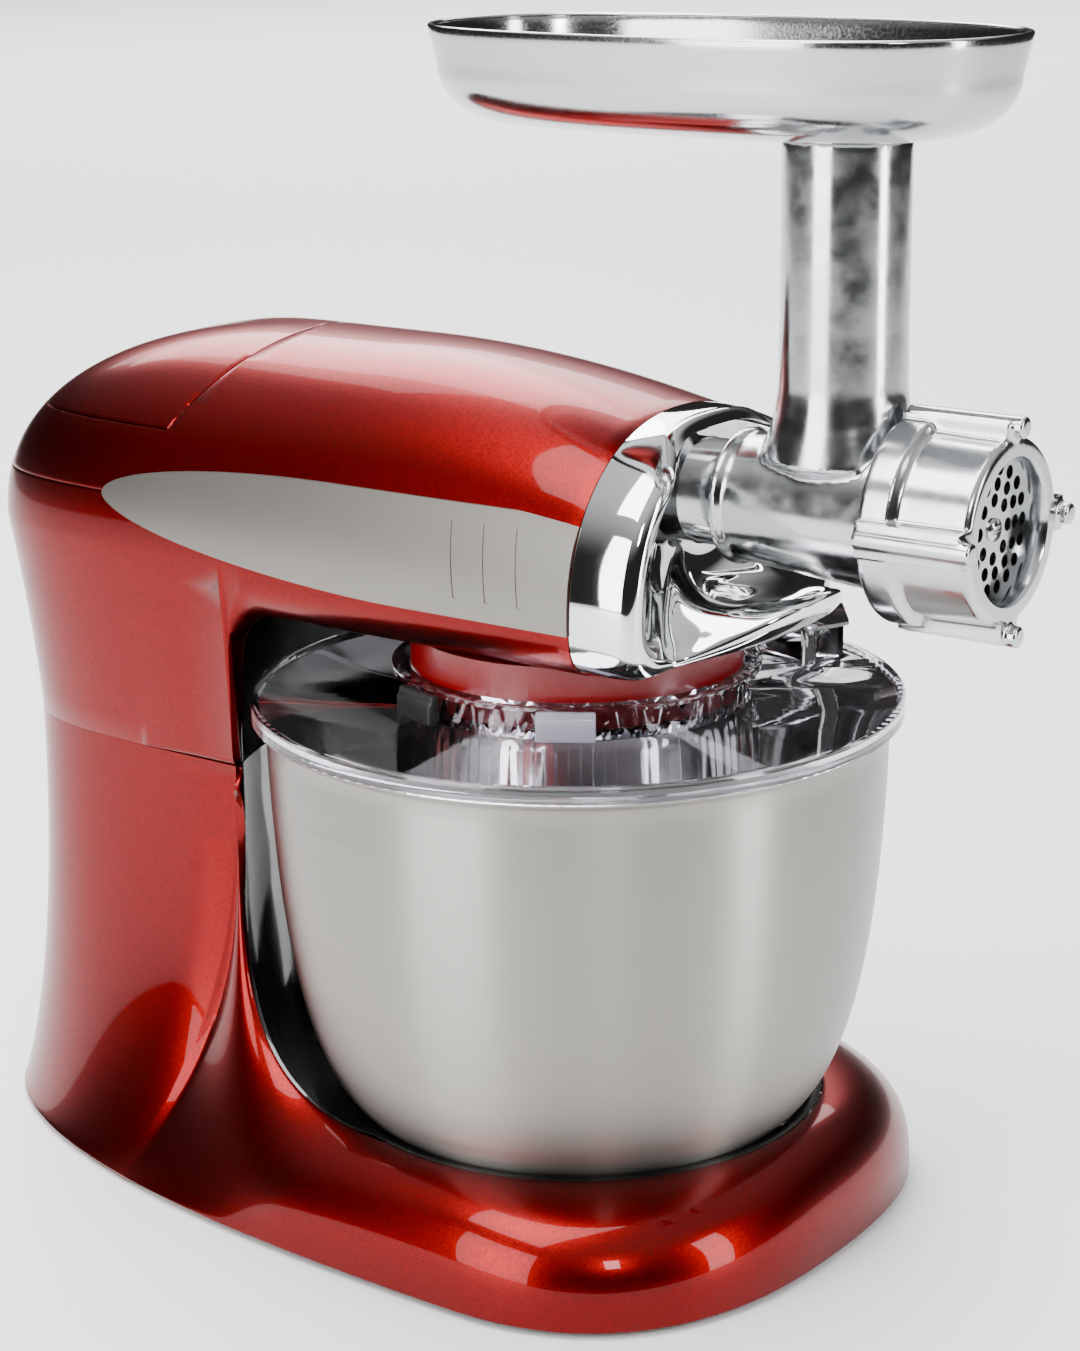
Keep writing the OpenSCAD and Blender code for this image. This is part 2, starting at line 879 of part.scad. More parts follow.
module drive_skirt() {
    color("#a01218")
        on_axis()
            difference() {
                translate([0, 0, skirt_z])
                    cylinder(r = skirt_r, h = head_bottom_z - skirt_z - 0.3);
                translate([0, 0, skirt_z - 1])
                    cylinder(r = skirt_r - wall, h = head_bottom_z - skirt_z - wall + 0.7);
                translate([0, 0, skirt_z])
                    cylinder(r = shaft_r + 2, h = 60);
            }
}

// The belt runs round two wheels of radius r and s
module belt_path(r, s) {
    hull() {
        translate([0, lay_y])
            circle(r = r);
        translate([0, motor_back])
            circle(r = s);
    }
}

module drive_belt() {
    color("#1b1b1b")
        on_axis()
            translate([0, 0, belt_z])
                linear_extrude(belt_h)
                    difference() {
                        belt_path(belt_wheel_r + belt_t, motor_pulley_r + belt_t);
                        belt_path(belt_wheel_r + gap, motor_pulley_r + gap);
                    }
}

module tilt_bracket() {
    color("#70757a")
        on_axis()
            difference() {
                union() {
                    translate([-21.6, hinge_y, hinge_z])
                        rotate([0, 90, 0])
                            cylinder(r = knuckle_r, h = 43.2);
                    translate([-21.6, hinge_y - knuckle_r, hinge_z + 2])
                        cube([43.2, 7, 62]);
                }
                translate([-40, hinge_y, hinge_z])
                    rotate([0, 90, 0])
                        cylinder(r = hinge_pin_r + run, h = 80);
            }
}

module motor_rotor() {
    color("#7b7f84")
        on_axis()
            translate([0, motor_back, 0]) {
                translate([0, 0, motor_low + 2])
                    tube(rotor_r, shaft_r, motor_h - 4);
                translate([0, 0, motor_low + motor_h + 2])
                    tube(11, shaft_r, 14);
            }
}

module motor_shaft() {
    color("#c8cacc")
        on_axis()
            translate([0, motor_back, 168])
                cylinder(r = shaft_r, h = cover_z - 168 + 4);
}

module motor_fan() {
    color("#202020")
        on_axis()
            translate([0, motor_back, 174]) {
                tube(12, shaft_r, 6);
                for (a = [0 : 30 : 330])
                    rotate([0, 0, a])
                        translate([11.5, -0.8, 0])
                            cube([20, 1.6, 6]);
            }
}

module motor_pulley() {
    color("#d0d0d0")
        on_axis()
            translate([0, motor_back, belt_z - 2]) {
                tube(motor_pulley_r, shaft_r, belt_h + 4);
                tube(motor_pulley_r + 3, shaft_r, 1.6);
            }
}

module blender_coupling() {
    color("#d8d8d8")
        on_axis()
            translate([0, motor_back, cover_z - 4])
                difference() {
                    union() {
                        cylinder(r = 12, h = 12);
                        for (a = [0 : 60 : 300])
                            rotate([0, 0, a])
                                translate([7, -2, 0])
                                    cube([7, 4, 12]);
                    }
                    translate([0, 0, -1])
                        cylinder(r = shaft_r, h = 9);
                }
}

module layshaft() {
    color("#c8cacc")
        on_axis()
            translate([0, lay_y, floor_z + 0.6])
                cylinder(r = 5, h = belt_z + belt_h + 3 - floor_z);
}

module belt_wheel() {
    color("#3a3a3a")
        on_axis()
            translate([0, lay_y, belt_z])
                difference() {
                    cylinder(r = belt_wheel_r, h = belt_h);
                    translate([0, 0, -1])
                        cylinder(r = 5, h = belt_h + 2);
                    for (a = [0 : 60 : 300])
                        rotate([0, 0, a])
                            translate([17.5, 0, -1])
                                cylinder(r = 6, h = belt_h + 2);
                }
}

module pinion() {
    color("#b9a26a")
        on_axis()
            translate([0, lay_y, gear_z - 0.5])
                difference() {
                    linear_extrude(gear_h + 1)
                        rotate([0, 0, 90 + 180 / pinion_teeth])
                            gear_2d(pinion_teeth, pinion_r - 1.4, pinion_r + 1, 0.38);
                    translate([0, 0, -1])
                        cylinder(r = 5, h = gear_h + 4);
                }
}

module centre_shaft() {
    color("#c8cacc")
        on_axis()
            translate([0, 0, carrier_z])
                cylinder(r = shaft_r, h = port_z - 7.4 - carrier_z);
}

module main_gear() {
    color("#b9a26a")
        on_axis()
            translate([0, 0, gear_z])
                difference() {
                    linear_extrude(gear_h)
                        rotate([0, 0, 90])
                            gear_2d(main_teeth, lay_y - pinion_r - 1.4, lay_y - pinion_r + 1, 0.4);
                    translate([0, 0, -1])
                        cylinder(r = shaft_r, h = gear_h + 2);
                    for (a = [0 : 60 : 300])
                        rotate([0, 0, a])
                            translate([22, 0, -1])
                                cylinder(r = 7, h = gear_h + 2);
                }
}

// A bevel gear with its apex at the origin and its back at z = -r
module bevel(phase) {
    back = bevel_r - 0.5;
    difference() {
        translate([0, 0, -back])
            rotate([0, 0, phase])
                linear_extrude(back - 7, scale = 7 / back)
                    gear_2d(bevel_teeth, back - 0.9, back + 0.7, 0.36);
        translate([0, 0, -back - 1])
            cylinder(r = shaft_r, h = back);
    }
}

module bevel_wheel() {
    color("#b9a26a")
        on_axis()
            translate([0, 0, port_z - gap])
                bevel(0);
}

module planet_carrier() {
    color("#c0c2c4")
        on_axis()
            translate([0, 0, carrier_z])
                difference() {
                    union() {
                        cylinder(r = skirt_r - 2, h = 3.5);
                        cylinder(r = skirt_r - wall - 1, h = ring_z - carrier_z - 1);
                    }
                    translate([0, 0, -1])
                        cylinder(r = shaft_r, h = 20);
                    translate([0, -tool_offset, -1])
                        cylinder(r = tool_r + run, h = 20);
                }
}

module tool_shaft() {
    color("#d0d2d4")
        on_axis()
            translate([0, -tool_offset, tool_low_z])
                difference() {
                    cylinder(r = tool_r, h = ring_z + ring_h - 1 - tool_low_z);
                    translate([-20, 0, 12])
                        rotate([0, 90, 0])
                            cylinder(r = 2, h = 40);
                }
}

module planet_gear() {
    color("#b9a26a")
        on_axis()
            translate([0, -tool_offset, ring_z + 0.5])
                difference() {
                    linear_extrude(ring_h - 2)
                        rotate([0, 0, -90])
                            gear_2d(planet_teeth, planet_r - 1.9, planet_r + 1.2, 0.36);
                    translate([0, 0, -1])
                        cylinder(r = tool_r, h = ring_h + 2);
                }
}

module output_shaft() {
    color("#c8cacc")
        on_axis()
            difference() {
                union() {
                    forwards(7.4)
                        cylinder(r = shaft_r, h = head_front - 16);
                    forwards(head_front - 9)
                        cylinder(r = 8, h = hub_front - head_front - 4);
                }
                forwards(head_front)
                    translate([-square / 2 - 0.2, -square / 2 - 0.2, 0])
                        cube([square + 0.4, square + 0.4, 40]);
            }
}

module bevel_pinion() {
    color("#b9a26a")
        on_axis()
            translate([0, -gap, port_z])
                rotate([-90, 0, 0])
                    bevel(180 / bevel_teeth);
}

// ---- Bowl and splash guard ----

// The bowl's wall from its floor to its rim, inset by d
function bowl_wall_points(d) =
    [for (t = [0 : 1 / 16 : 1])
        let (p = bezier([[bowl_foot_r + 8, bowl_floor], [bowl_foot_r + 42, bowl_floor + 3],
            [bowl_r - 2.4, bowl_floor + 58], [bowl_r, bowl_rim_z - 4]], t))
        [p[0] - d * (0.35 + 0.65 * min(1, t * 2.4)), p[1] + d * (1 - t)]];

module bowl() {
    color("#c9cacb")
        on_axis()
            rotate_extrude() {
                difference() {
                    polygon(concat([[0, bowl_floor]], bowl_wall_points(0), [[bowl_r, bowl_rim_z], [0, bowl_rim_z]]));
                    polygon(concat([[0, bowl_floor + bowl_wall]], bowl_wall_points(bowl_wall),
                        [[bowl_r - bowl_wall, bowl_rim_z + 1], [0, bowl_rim_z + 1]]));
                }
                translate([bowl_r, bowl_rim_z])
                    circle(r = rim_bead, $fn = 32);
            }
}

module bowl_foot() {
    color("#b5b7b9")
        on_axis()
            translate([0, 0, foot_ring_z + 0.05]) {
                tube(bowl_foot_r, bowl_foot_r - 6, bowl_floor - foot_ring_z - 0.05);
                for (a = [0 : 120 : 240])
                    rotate([0, 0, a - catch_angle / 2 + 1])
                        rotate_extrude(angle = catch_angle - 2)
                            translate([bowl_foot_r - 1, 0])
                                square([4.4, 3]);
            }
}

// The feed chute's walls, or with d > 0 the room inside them
module chute(d) {
    rotate([0, 0, chute_turn])
        translate([chute_r, 0, lid_z - (d > 0 ? 5 : 0)])
            linear_extrude(chute_h + (d > 0 ? 10 : 0))
                square([2 * (chute_half[0] - d), 2 * (chute_half[1] - d)], center = true);
}

// Places its children on the axis that the chute's flap turns about
module at_flap_hinge() {
    rotate([0, 0, chute_turn])
        translate([chute_r - chute_half[0] - flap_pin_r - 0.6, 0, lid_z + chute_h + gap + flap_pin_r])
            rotate([90, 0, 0])
                children();
}

module splash_lid() {
    color([0.85, 0.85, 0.9, 0.4])
        on_axis()
            difference() {
                union() {
                    rotate_extrude()
                        polygon([[skirt_r + 0.7, lid_z], [bowl_r + rim_bead + 0.7, lid_z],
                            [bowl_r + rim_bead + 0.7, lid_z - 2.6], [lid_r, lid_z - 2.6],
                            [lid_r, lid_z + lid_wall + 1.4], [lid_r - 2.4, lid_z + lid_wall + 1.4],
                            [lid_r - 3, lid_z + lid_wall], [skirt_r + 3, lid_z + lid_wall],
                            [skirt_r + 3, collar_top - 3], [skirt_r + 7, collar_top - 2],
                            [skirt_r + 7, collar_top], [skirt_r + 0.7, collar_top]]);
                    chute(0);
                    for (side = [-1, 1])
                        rotate([0, 0, chute_turn])
                            translate([chute_r - chute_half[0] - 5, side * (chute_half[1] + 3.8) - 1.3, lid_z])
                                cube([5.6, 2.6, chute_h + gap + 4]);
                }
                chute(2);
                at_flap_hinge()
                    cylinder(r = flap_pin_r + run, h = 2 * chute_half[1] + 20, center = true);
            }
}

// A spring clip that holds the splash guard's collar to the skirt
module clip(turn) {
    rotate([0, 0, turn])
        translate([skirt_r + 7.3, -11, lid_z + lid_wall + 0.6])
            cube([5, 22, collar_top - lid_z - lid_wall + 0.4]);
}

module front_clip() {
    color("#d7d4dc")
        on_axis()
            clip(212);
}

module rear_clip() {
    color("#2a2a2a")
        on_axis()
            clip(162);
}

module chute_flap() {
    color([0.85, 0.85, 0.9, 0.5])
        on_axis() {
            rotate([0, 0, chute_turn])
                translate([chute_r - chute_half[0], 0, lid_z + chute_h + gap])
                    linear_extrude(2)
                        polygon([[-flap_pin_r - 0.6, -chute_half[1] - 2], [2 * chute_half[0] + 1, -chute_half[1] - 2],
                            [2 * chute_half[0] + flap_tip, 0], [2 * chute_half[0] + 1, chute_half[1] + 2],
                            [-flap_pin_r - 0.6, chute_half[1] + 2]]);
            at_flap_hinge()
                cylinder(r = flap_pin_r, h = 2 * chute_half[1] + 10, center = true);
        }
}

// ---- Grinder ----

module grinder_body() {
    color("#c3c5c7")
        on_axis()
            difference() {
                union() {
                    forwards(hub_front - 10)
                        cylinder(r = hub_bore - 0.3, h = 12);
                    forwards(flange_y)
                        cylinder(r = barrel_r + 4.5, h = 4);
                    forwards(flange_y + 4)
                        cylinder(r1 = barrel_r + barrel_wall, r2 = barrel_r + 7.4, h = nut_back - flange_y - 4);
                    forwards(nut_back)
                        cylinder(r = thread_r, h = plate_front - nut_back - 3);
                    translate([0, -tube_front, port_z])
                        cylinder(r = tube_r, h = tray_z - port_z - 0.5);
                    translate([0, -tube_front, port_z + 8])
                        cylinder(r1 = tube_r + 3, r2 = tube_r, h = 28);
                }
                forwards(hub_front - 11)
                    cylinder(r = 9, h = 40);
                forwards(flange_y + 2)
                    cylinder(r = barrel_r, h = 200);
                forwards(plate_front - plate_t - knife_t - 1)
                    cylinder(r = plate_r + 0.3, h = 40);
                translate([0, -tube_front, port_z])
                    cylinder(r = tube_r - 2.5, h = 300);
            }
}

module auger() {
    color("#b9bbbd")
        on_axis() {
            forwards(head_front + 2)
                translate([-square / 2, -square / 2, 0])
                    cube([square, square, flange_y - head_front - 1]);
            forwards(flange_y + 1)
                cylinder(r = 7, h = plate_front - plate_t - knife_t - flange_y - 2);
            forwards(plate_front - plate_t - knife_t - 1.4)
                cylinder(r = 4, h = plate_t + knife_t + 2.4);
            forwards(flange_y + 4)
                linear_extrude(plate_front - plate_t - knife_t - flange_y - 8, twist = 360 * 3, slices = 48, $fn = 16)
                    translate([7, 0])
                        circle(r = barrel_r - 8);
        }
}

module knife() {
    color("#d5d7d9")
        on_axis()
            forwards(plate_front - plate_t - knife_t)
                difference() {
                    union() {
                        cylinder(r = 9, h = knife_t - 0.3);
                        for (a = [0 : 90 : 270])
                            rotate([0, 0, a])
                                translate([0, -3.5, 0])
                                    cube([plate_r - 3, 7, knife_t - 0.3]);
                    }
                    translate([0, 0, -1])
                        cylinder(r = 4, h = 20);
                }
}

module hole_plate() {
    color("#8e9194")
        on_axis()
            forwards(plate_front - plate_t)
                difference() {
                    cylinder(r = plate_r, h = plate_t);
                    translate([0, 0, -1])
                        cylinder(r = 4 + run, h = 20);
                    for (ring = [[10, 8], [15.3, 13], [20.6, 18]], i = [0 : ring[1] - 1])
                        rotate([0, 0, i * 360 / ring[1]])
                            translate([ring[0], 0, -1])
                                cylinder(r = plate_hole_r, h = 20, $fn = 24);
                }
}

module ring_nut() {
    color("#c3c5c7")
        on_axis()
            forwards(nut_back)
                difference() {
                    union() {
                        cylinder(r1 = thread_r + 7, r2 = thread_r + 4, h = nut_front - nut_back);
                        for (a = [0 : 90 : 270])
                            rotate([0, 0, a])
                                translate([thread_r, -8, 0])
                                    cube([lug_reach - thread_r - 2, 16, nut_front - nut_back + 2]);
                        for (a = [0 : 90 : 270])
                            rotate([0, 0, a])
                                translate([lug_reach - 5, 0, 0])
                                    cylinder(r = 5, h = nut_front - nut_back + knob_tip);
                    }
                    translate([0, 0, -1])
                        cylinder(r = thread_r + run, h = plate_front - nut_back + 1);
                    cylinder(r = nut_lip_r, h = 60);
                }
}

// The tray at inset d: its rim is an oblong with soft corners
tray_mid = tube_front - 50.5;
function tray_half(rx, ry, z) =
    [for (k = [0 : 19])
        let (a = -90 + (k + 0.5) * 9, q = quarter(abs(a), rx, ry, 2.6))
        [q[0], (a < 0 ? -q[1] : q[1]), z]];
function tray_rings(d, top) =
    [for (a = [[29, 0], [19.3, 1.5], [10.6, 5.9], [5, 12.3], [3, 20], [0, tray_depth + top]])
        whole(tray_half(tray_half_w - a[0] - d, tray_half_l - a[0] - d, tray_z + a[1] + (a[1] < 20 ? d : 0)))];

module grinder_tray() {
    color("#c9cbcd")
        on_axis()
            difference() {
                union() {
                    translate([0, -tray_mid, 0])
                        difference() {
                            loft(tray_rings(0, 0));
                            loft(tray_rings(1.8, 1));
                        }
                    translate([0, -tube_front, tray_z - 14])
                        cylinder(r = tube_r - 2.8, h = 15);
                }
                translate([0, -tube_front, tray_z - 20])
                    cylinder(r = tube_r - 4.6, h = 60);
            }
}

base_shell();
bowl_surround();
base_plate();
rubber_feet();
base_screws();
bowl_seat();
hinge_bracket();
hinge_pin();
control_board();
cable_gland();
knob_bezel();
speed_knob();
knob_spindle();
release_button();
release_spring();
head_lower_shell();
head_liner();
head_upper_shell();
side_panel_left();
side_panel_right();
blender_deck();
front_cap();
attachment_hub();
motor_stator();
motor_brushes();
gearbox_case();
shaft_bearings();
ring_gear();
drive_skirt();
drive_belt();
tilt_bracket();
motor_rotor();
motor_shaft();
motor_fan();
motor_pulley();
blender_coupling();
layshaft();
belt_wheel();
pinion();
centre_shaft();
main_gear();
bevel_wheel();
planet_carrier();
tool_shaft();
planet_gear();
output_shaft();
bevel_pinion();
rear_cover();
bowl();
bowl_foot();
splash_lid();
front_clip();
rear_clip();
chute_flap();
grinder_body();
auger();
knife();
hole_plate();
ring_nut();
grinder_tray();
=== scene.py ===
import bpy
import bmesh
import json
from math import sin, cos, pi, radians, degrees, sqrt, atan2, hypot
from mathutils import Vector, Matrix


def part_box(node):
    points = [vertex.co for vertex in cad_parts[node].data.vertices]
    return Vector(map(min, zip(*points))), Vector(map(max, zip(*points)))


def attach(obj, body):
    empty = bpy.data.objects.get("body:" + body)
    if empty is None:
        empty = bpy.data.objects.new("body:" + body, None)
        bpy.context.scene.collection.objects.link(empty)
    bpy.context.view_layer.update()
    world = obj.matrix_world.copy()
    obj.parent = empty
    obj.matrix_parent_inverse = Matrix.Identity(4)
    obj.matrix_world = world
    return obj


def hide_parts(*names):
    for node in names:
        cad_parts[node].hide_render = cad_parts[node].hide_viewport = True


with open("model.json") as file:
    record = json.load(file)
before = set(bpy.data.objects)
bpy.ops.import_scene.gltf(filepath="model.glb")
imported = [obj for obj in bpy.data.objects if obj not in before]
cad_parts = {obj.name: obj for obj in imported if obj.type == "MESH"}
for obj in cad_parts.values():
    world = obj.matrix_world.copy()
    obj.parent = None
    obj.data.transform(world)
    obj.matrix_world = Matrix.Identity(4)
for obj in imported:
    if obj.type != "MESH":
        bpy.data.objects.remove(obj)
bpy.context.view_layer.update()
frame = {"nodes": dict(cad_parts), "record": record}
print("frame loaded")

mm = 0.001
axisY = (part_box("tool_shaft")[0][1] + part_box("tool_shaft")[1][1]) / 2 + 32 * mm   # the bowl's axis, behind X = 0
driveZ = (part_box("auger")[0][2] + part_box("auger")[1][2]) / 2                       # the front drive's axis


def selectOnly(*pieces):
    if bpy.context.object and bpy.context.object.mode != "OBJECT":
        bpy.ops.object.mode_set(mode="OBJECT")
    bpy.ops.object.select_all(action="DESELECT")
    for piece in pieces:
        piece.select_set(True)
    bpy.context.view_layer.objects.active = pieces[-1]


# ---- Materials ----

def linear(hexColor):
    # sRGB hex to the linear values that the shaders take
    values = [int(hexColor[i:i + 2], 16) / 255 for i in (1, 3, 5)]
    return [v / 12.92 if v <= 0.04045 else ((v + 0.055) / 1.055) ** 2.4 for v in values] + [1.0]


def addNode(tree, kind, settings=None, **links):
    # adds a node, sets its sockets or properties, and links sockets to other nodes' outputs
    node = tree.nodes.new(kind)
    for key, value in (settings or {}).items():
        if key in node.inputs:
            node.inputs[key].default_value = value
        elif isinstance(key, int):
            node.inputs[key].default_value = value
        else:
            setattr(node, key, value)
    for key, source in links.items():
        tree.links.new(source, node.inputs[int(key[1:]) if key[1:].isdigit() else key.replace("_", " ")])
    return node


def newMaterial(name, **sockets):
    material = bpy.data.materials.new(name)
    material.use_nodes = True
    shader = material.node_tree.nodes["Principled BSDF"]
    for key, value in sockets.items():
        shader.inputs[key.replace("_", " ")].default_value = value
    return material, material.node_tree, shader


def grain(tree, shader, scale, strength, detail=4.0, stretch=(1, 1, 1), distance=0.0002):
    # fine relief on Object coordinates; scale is cells per metre
    place = addNode(tree, "ShaderNodeTexCoord")
    mapped = addNode(tree, "ShaderNodeMapping", {"Scale": stretch}, Vector=place.outputs["Object"])
    noise = addNode(tree, "ShaderNodeTexNoise", {"Scale": scale, "Detail": detail}, Vector=mapped.outputs[0])
    bump = addNode(tree, "ShaderNodeBump", {"Strength": strength, "Distance": distance}, Height=noise.outputs[0])
    tree.links.new(bump.outputs[0], shader.inputs["Normal"])
    return noise


def roughnessRange(tree, shader, source, low, high):
    spread = {"From Min": 0.3, "From Max": 0.7, "To Min": low, "To Max": high}
    ranged = addNode(tree, "ShaderNodeMapRange", spread, Value=source.outputs[0])
    tree.links.new(ranged.outputs[0], shader.inputs["Roughness"])


def candyLacquer():
    # metallic base coat under clear lacquer on ABS: deep red that brightens where it faces the light
    material, tree, shader = newMaterial("candyRedLacquer", Metallic=1.0, Roughness=0.3, Coat_Weight=0.3,
                                         Coat_Roughness=0.03, Coat_IOR=1.5)
    place = addNode(tree, "ShaderNodeTexCoord")
    flakes = addNode(tree, "ShaderNodeTexVoronoi", {"Scale": 1600.0}, Vector=place.outputs["Object"])
    ramp = addNode(tree, "ShaderNodeMapRange", {"From Min": 0.0, "From Max": 1.0, "To Min": 0.0, "To Max": 1.0},
                   Value=flakes.outputs["Color"])
    mixed = addNode(tree, "ShaderNodeMix", {"data_type": "RGBA"}, i0=ramp.outputs[0])
    mixed.inputs[6].default_value = linear("#5c0001")
    mixed.inputs[7].default_value = linear("#7c0001")
    tree.links.new(mixed.outputs[2], shader.inputs["Base Color"])
    return material


def redPlastic():
    # moulded ABS in the body's red, with no flakes
    material, tree, shader = newMaterial("redMouldedAbs", Base_Color=linear("#7a0206"), Roughness=0.28, IOR=1.45,
                                         Coat_Weight=0.2, Coat_Roughness=0.05)
    grain(tree, shader, 400.0, 0.05)
    return material


def blackGloss():
    # gloss moulded ABS: nearly black, with clear reflections
    material, tree, shader = newMaterial("blackGlossAbs", Base_Color=linear("#0b0b0c"), Roughness=0.08, IOR=1.54,
                                         Coat_Weight=0.6, Coat_Roughness=0.03)
    noise = grain(tree, shader, 60.0, 0.03)
    roughnessRange(tree, shader, noise, 0.06, 0.14)
    return material


def blackSatin():
    # spark-eroded polypropylene: fine grain of about half a millimetre
    material, tree, shader = newMaterial("blackGrainedPolypropylene", Base_Color=linear("#19191a"),
                                         Roughness=0.45, IOR=1.49)
    noise = grain(tree, shader, 1800.0, 0.25)
    roughnessRange(tree, shader, noise, 0.38, 0.55)
    return material


def rubber():
    # moulded nitrile rubber: dull, slightly dusty black
    material, tree, shader = newMaterial("mouldedNitrileRubber", Base_Color=linear("#151516"), Roughness=0.7,
                                         IOR=1.52)
    noise = grain(tree, shader, 900.0, 0.3)
    roughnessRange(tree, shader, noise, 0.62, 0.82)
    return material


def satinSilver():
    # vapour-blasted anodised aluminium trim: soft warm silver
    material, tree, shader = newMaterial("satinAnodisedAluminium", Base_Color=linear("#7f7c77"), Metallic=1.0,
                                         Roughness=0.34)
    noise = grain(tree, shader, 2200.0, 0.08)
    roughnessRange(tree, shader, noise, 0.32, 0.42)
    return material


def chromePlate():
    # bright chrome plate on ABS: a mirror with a trace of orange peel
    material, tree, shader = newMaterial("brightChromePlate", Base_Color=linear("#d9dada"), Metallic=1.0,
                                         Roughness=0.035)
    noise = grain(tree, shader, 35.0, 0.04, detail=2.0, distance=0.0004)
    roughnessRange(tree, shader, noise, 0.03, 0.06)
    return material


def polishedAluminium():
    # tumbled and polished aluminium casting: bright, with faint waves and softer patches
    material, tree, shader = newMaterial("polishedCastAluminium", Base_Color=linear("#b9bbbd"), Metallic=1.0,
                                         Roughness=0.16)
    noise = grain(tree, shader, 120.0, 0.10, detail=6.0, distance=0.0003)
    roughnessRange(tree, shader, noise, 0.12, 0.24)
    return material


def brushedSteel():
    # stainless sheet brushed while it spins: level lines about 0.3 mm apart, stretched round the bowl
    material, tree, shader = newMaterial("spunBrushedStainless", Base_Color=linear("#989590"), Metallic=1.0,
                                         Roughness=0.34, Anisotropic=0.93, Anisotropic_Rotation=0.25)
    around = addNode(tree, "ShaderNodeTangent", {"direction_type": "RADIAL", "axis": "Z"})
    tree.links.new(around.outputs[0], shader.inputs["Tangent"])
    place = addNode(tree, "ShaderNodeTexCoord")
    mapped = addNode(tree, "ShaderNodeMapping", {"Scale": (5.0, 5.0, 2600.0)}, Vector=place.outputs["Object"])
    noise = addNode(tree, "ShaderNodeTexNoise", {"Scale": 1.0, "Detail": 6.0, "Roughness": 0.65},
                    Vector=mapped.outputs[0])
    bump = addNode(tree, "ShaderNodeBump", {"Strength": 0.1, "Distance": 0.00005}, Height=noise.outputs[0])
    tree.links.new(bump.outputs[0], shader.inputs["Normal"])
    roughnessRange(tree, shader, noise, 0.3, 0.4)
    return material


def brightSteel(name, color, low, high):
    # ground or pressed steel, with fine directionless scratches
    material, tree, shader = newMaterial(name, Base_Color=linear(color), Metallic=1.0, Roughness=low)
    noise = grain(tree, shader, 900.0, 0.06, detail=8.0)
    roughnessRange(tree, shader, noise, low, high)
    return material


def gearBrass():
    # hobbed brass: warm, with tool marks about 0.4 mm apart
    material, tree, shader = newMaterial("hobbedBrass", Base_Color=linear("#c9a65a"), Metallic=1.0,
                                         Roughness=0.28)
    noise = grain(tree, shader, 2500.0, 0.12)
    roughnessRange(tree, shader, noise, 0.22, 0.36)
    return material


def windings():
    # enamelled copper wire laid side by side, 0.6 mm apart (drawn 1.5 mm, to show), with painted shade darkening the
    # grooves between turns
    material, tree, shader = newMaterial("enamelledCopperWire", Metallic=0.7, Roughness=0.3)
    place = addNode(tree, "ShaderNodeTexCoord")
    wave = addNode(tree, "ShaderNodeTexWave", {"Scale": 105.0, "bands_direction": "Z", "Distortion": 0.4},
                   Vector=place.outputs["Object"])
    # painted shade: dark copper in the low parts of the wave, the grooves between turns, and full copper on the
    # crests
    mixed = addNode(tree, "ShaderNodeMix", {"data_type": "RGBA"}, i0=wave.outputs[1])
    mixed.inputs[6].default_value = linear("#4a2410")
    mixed.inputs[7].default_value = linear("#b4683a")
    tree.links.new(mixed.outputs[2], shader.inputs["Base Color"])
    bump = addNode(tree, "ShaderNodeBump", {"Strength": 0.4, "Distance": 0.0003}, Height=wave.outputs[1])
    tree.links.new(bump.outputs[0], shader.inputs["Normal"])
    return material


def carbonBrush():
    # pressed carbon: dull grey-black with fine pores
    material, tree, shader = newMaterial("pressedCarbon", Base_Color=linear("#1c1c1e"), Roughness=0.6)
    grain(tree, shader, 1500.0, 0.3)
    return material


def clearPolycarbonate():
    # injection-moulded clear copolyester: nearly colourless on the flat, violet grey through its edges
    material, tree, shader = newMaterial("clearCopolyester", Base_Color=linear("#e6e4ee"), Roughness=0.03,
                                         IOR=1.5, Transmission_Weight=1.0)
    noise = grain(tree, shader, 90.0, 0.03, detail=2.0)
    roughnessRange(tree, shader, noise, 0.02, 0.06)
    return material


def smokeCopolyester():
    # tinted copolyester with a light frost
    material, tree, shader = newMaterial("frostedGreyCopolyester", Base_Color=linear("#c9c4d4"), Roughness=0.18,
                                         IOR=1.5, Transmission_Weight=0.55)
    grain(tree, shader, 300.0, 0.05)
    return material


def circuitBoard():
    # glass-epoxy board under green solder resist, with the weave just showing
    material, tree, shader = newMaterial("greenSolderResist", Base_Color=linear("#1d5a33"), Roughness=0.3,
                                         IOR=1.5)
    grain(tree, shader, 1200.0, 0.15)
    return material


def groovedBelt():
    # ribbed polychloroprene belt: ribs 2 mm apart across its face
    material, tree, shader = newMaterial("ribbedNeoprene", Base_Color=linear("#1b1b1b"), Roughness=0.65)
    place = addNode(tree, "ShaderNodeTexCoord")
    wave = addNode(tree, "ShaderNodeTexWave", {"Scale": 80.0, "bands_direction": "Z"},
                   Vector=place.outputs["Object"])
    bump = addNode(tree, "ShaderNodeBump", {"Strength": 0.5, "Distance": 0.0004}, Height=wave.outputs[1])
    tree.links.new(bump.outputs[0], shader.inputs["Normal"])
    return material


finishes = {
    "red_metallic": candyLacquer(), "red_plastic": redPlastic(), "black_gloss": blackGloss(),
    "black_matte": blackSatin(), "rubber_black": rubber(), "satin_silver": satinSilver(),
    "chrome": chromePlate(), "cast_aluminium": polishedAluminium(), "steel_brushed": brushedSteel(),
    "steel_bright": brightSteel("groundBrightSteel", "#b4b6b8", 0.1, 0.2),
    "steel_grey": brightSteel("pressedGreySteel", "#8b8e91", 0.3, 0.42),
    "gear_brass": gearBrass(), "copper_winding": windings(), "carbon": carbonBrush(),
    "clear_plastic": clearPolycarbonate(), "smoke_plastic": smokeCopolyester(),
    "circuit_board": circuitBoard(), "belt_rubber": groovedBelt(),
}
slotOf = {part["node"]: part["material_slot"] for part in frame["record"]["subparts"]}
bodyOf = {node: body for body, nodes in frame["record"]["behaviour"]["bodies"].items() for node in nodes}
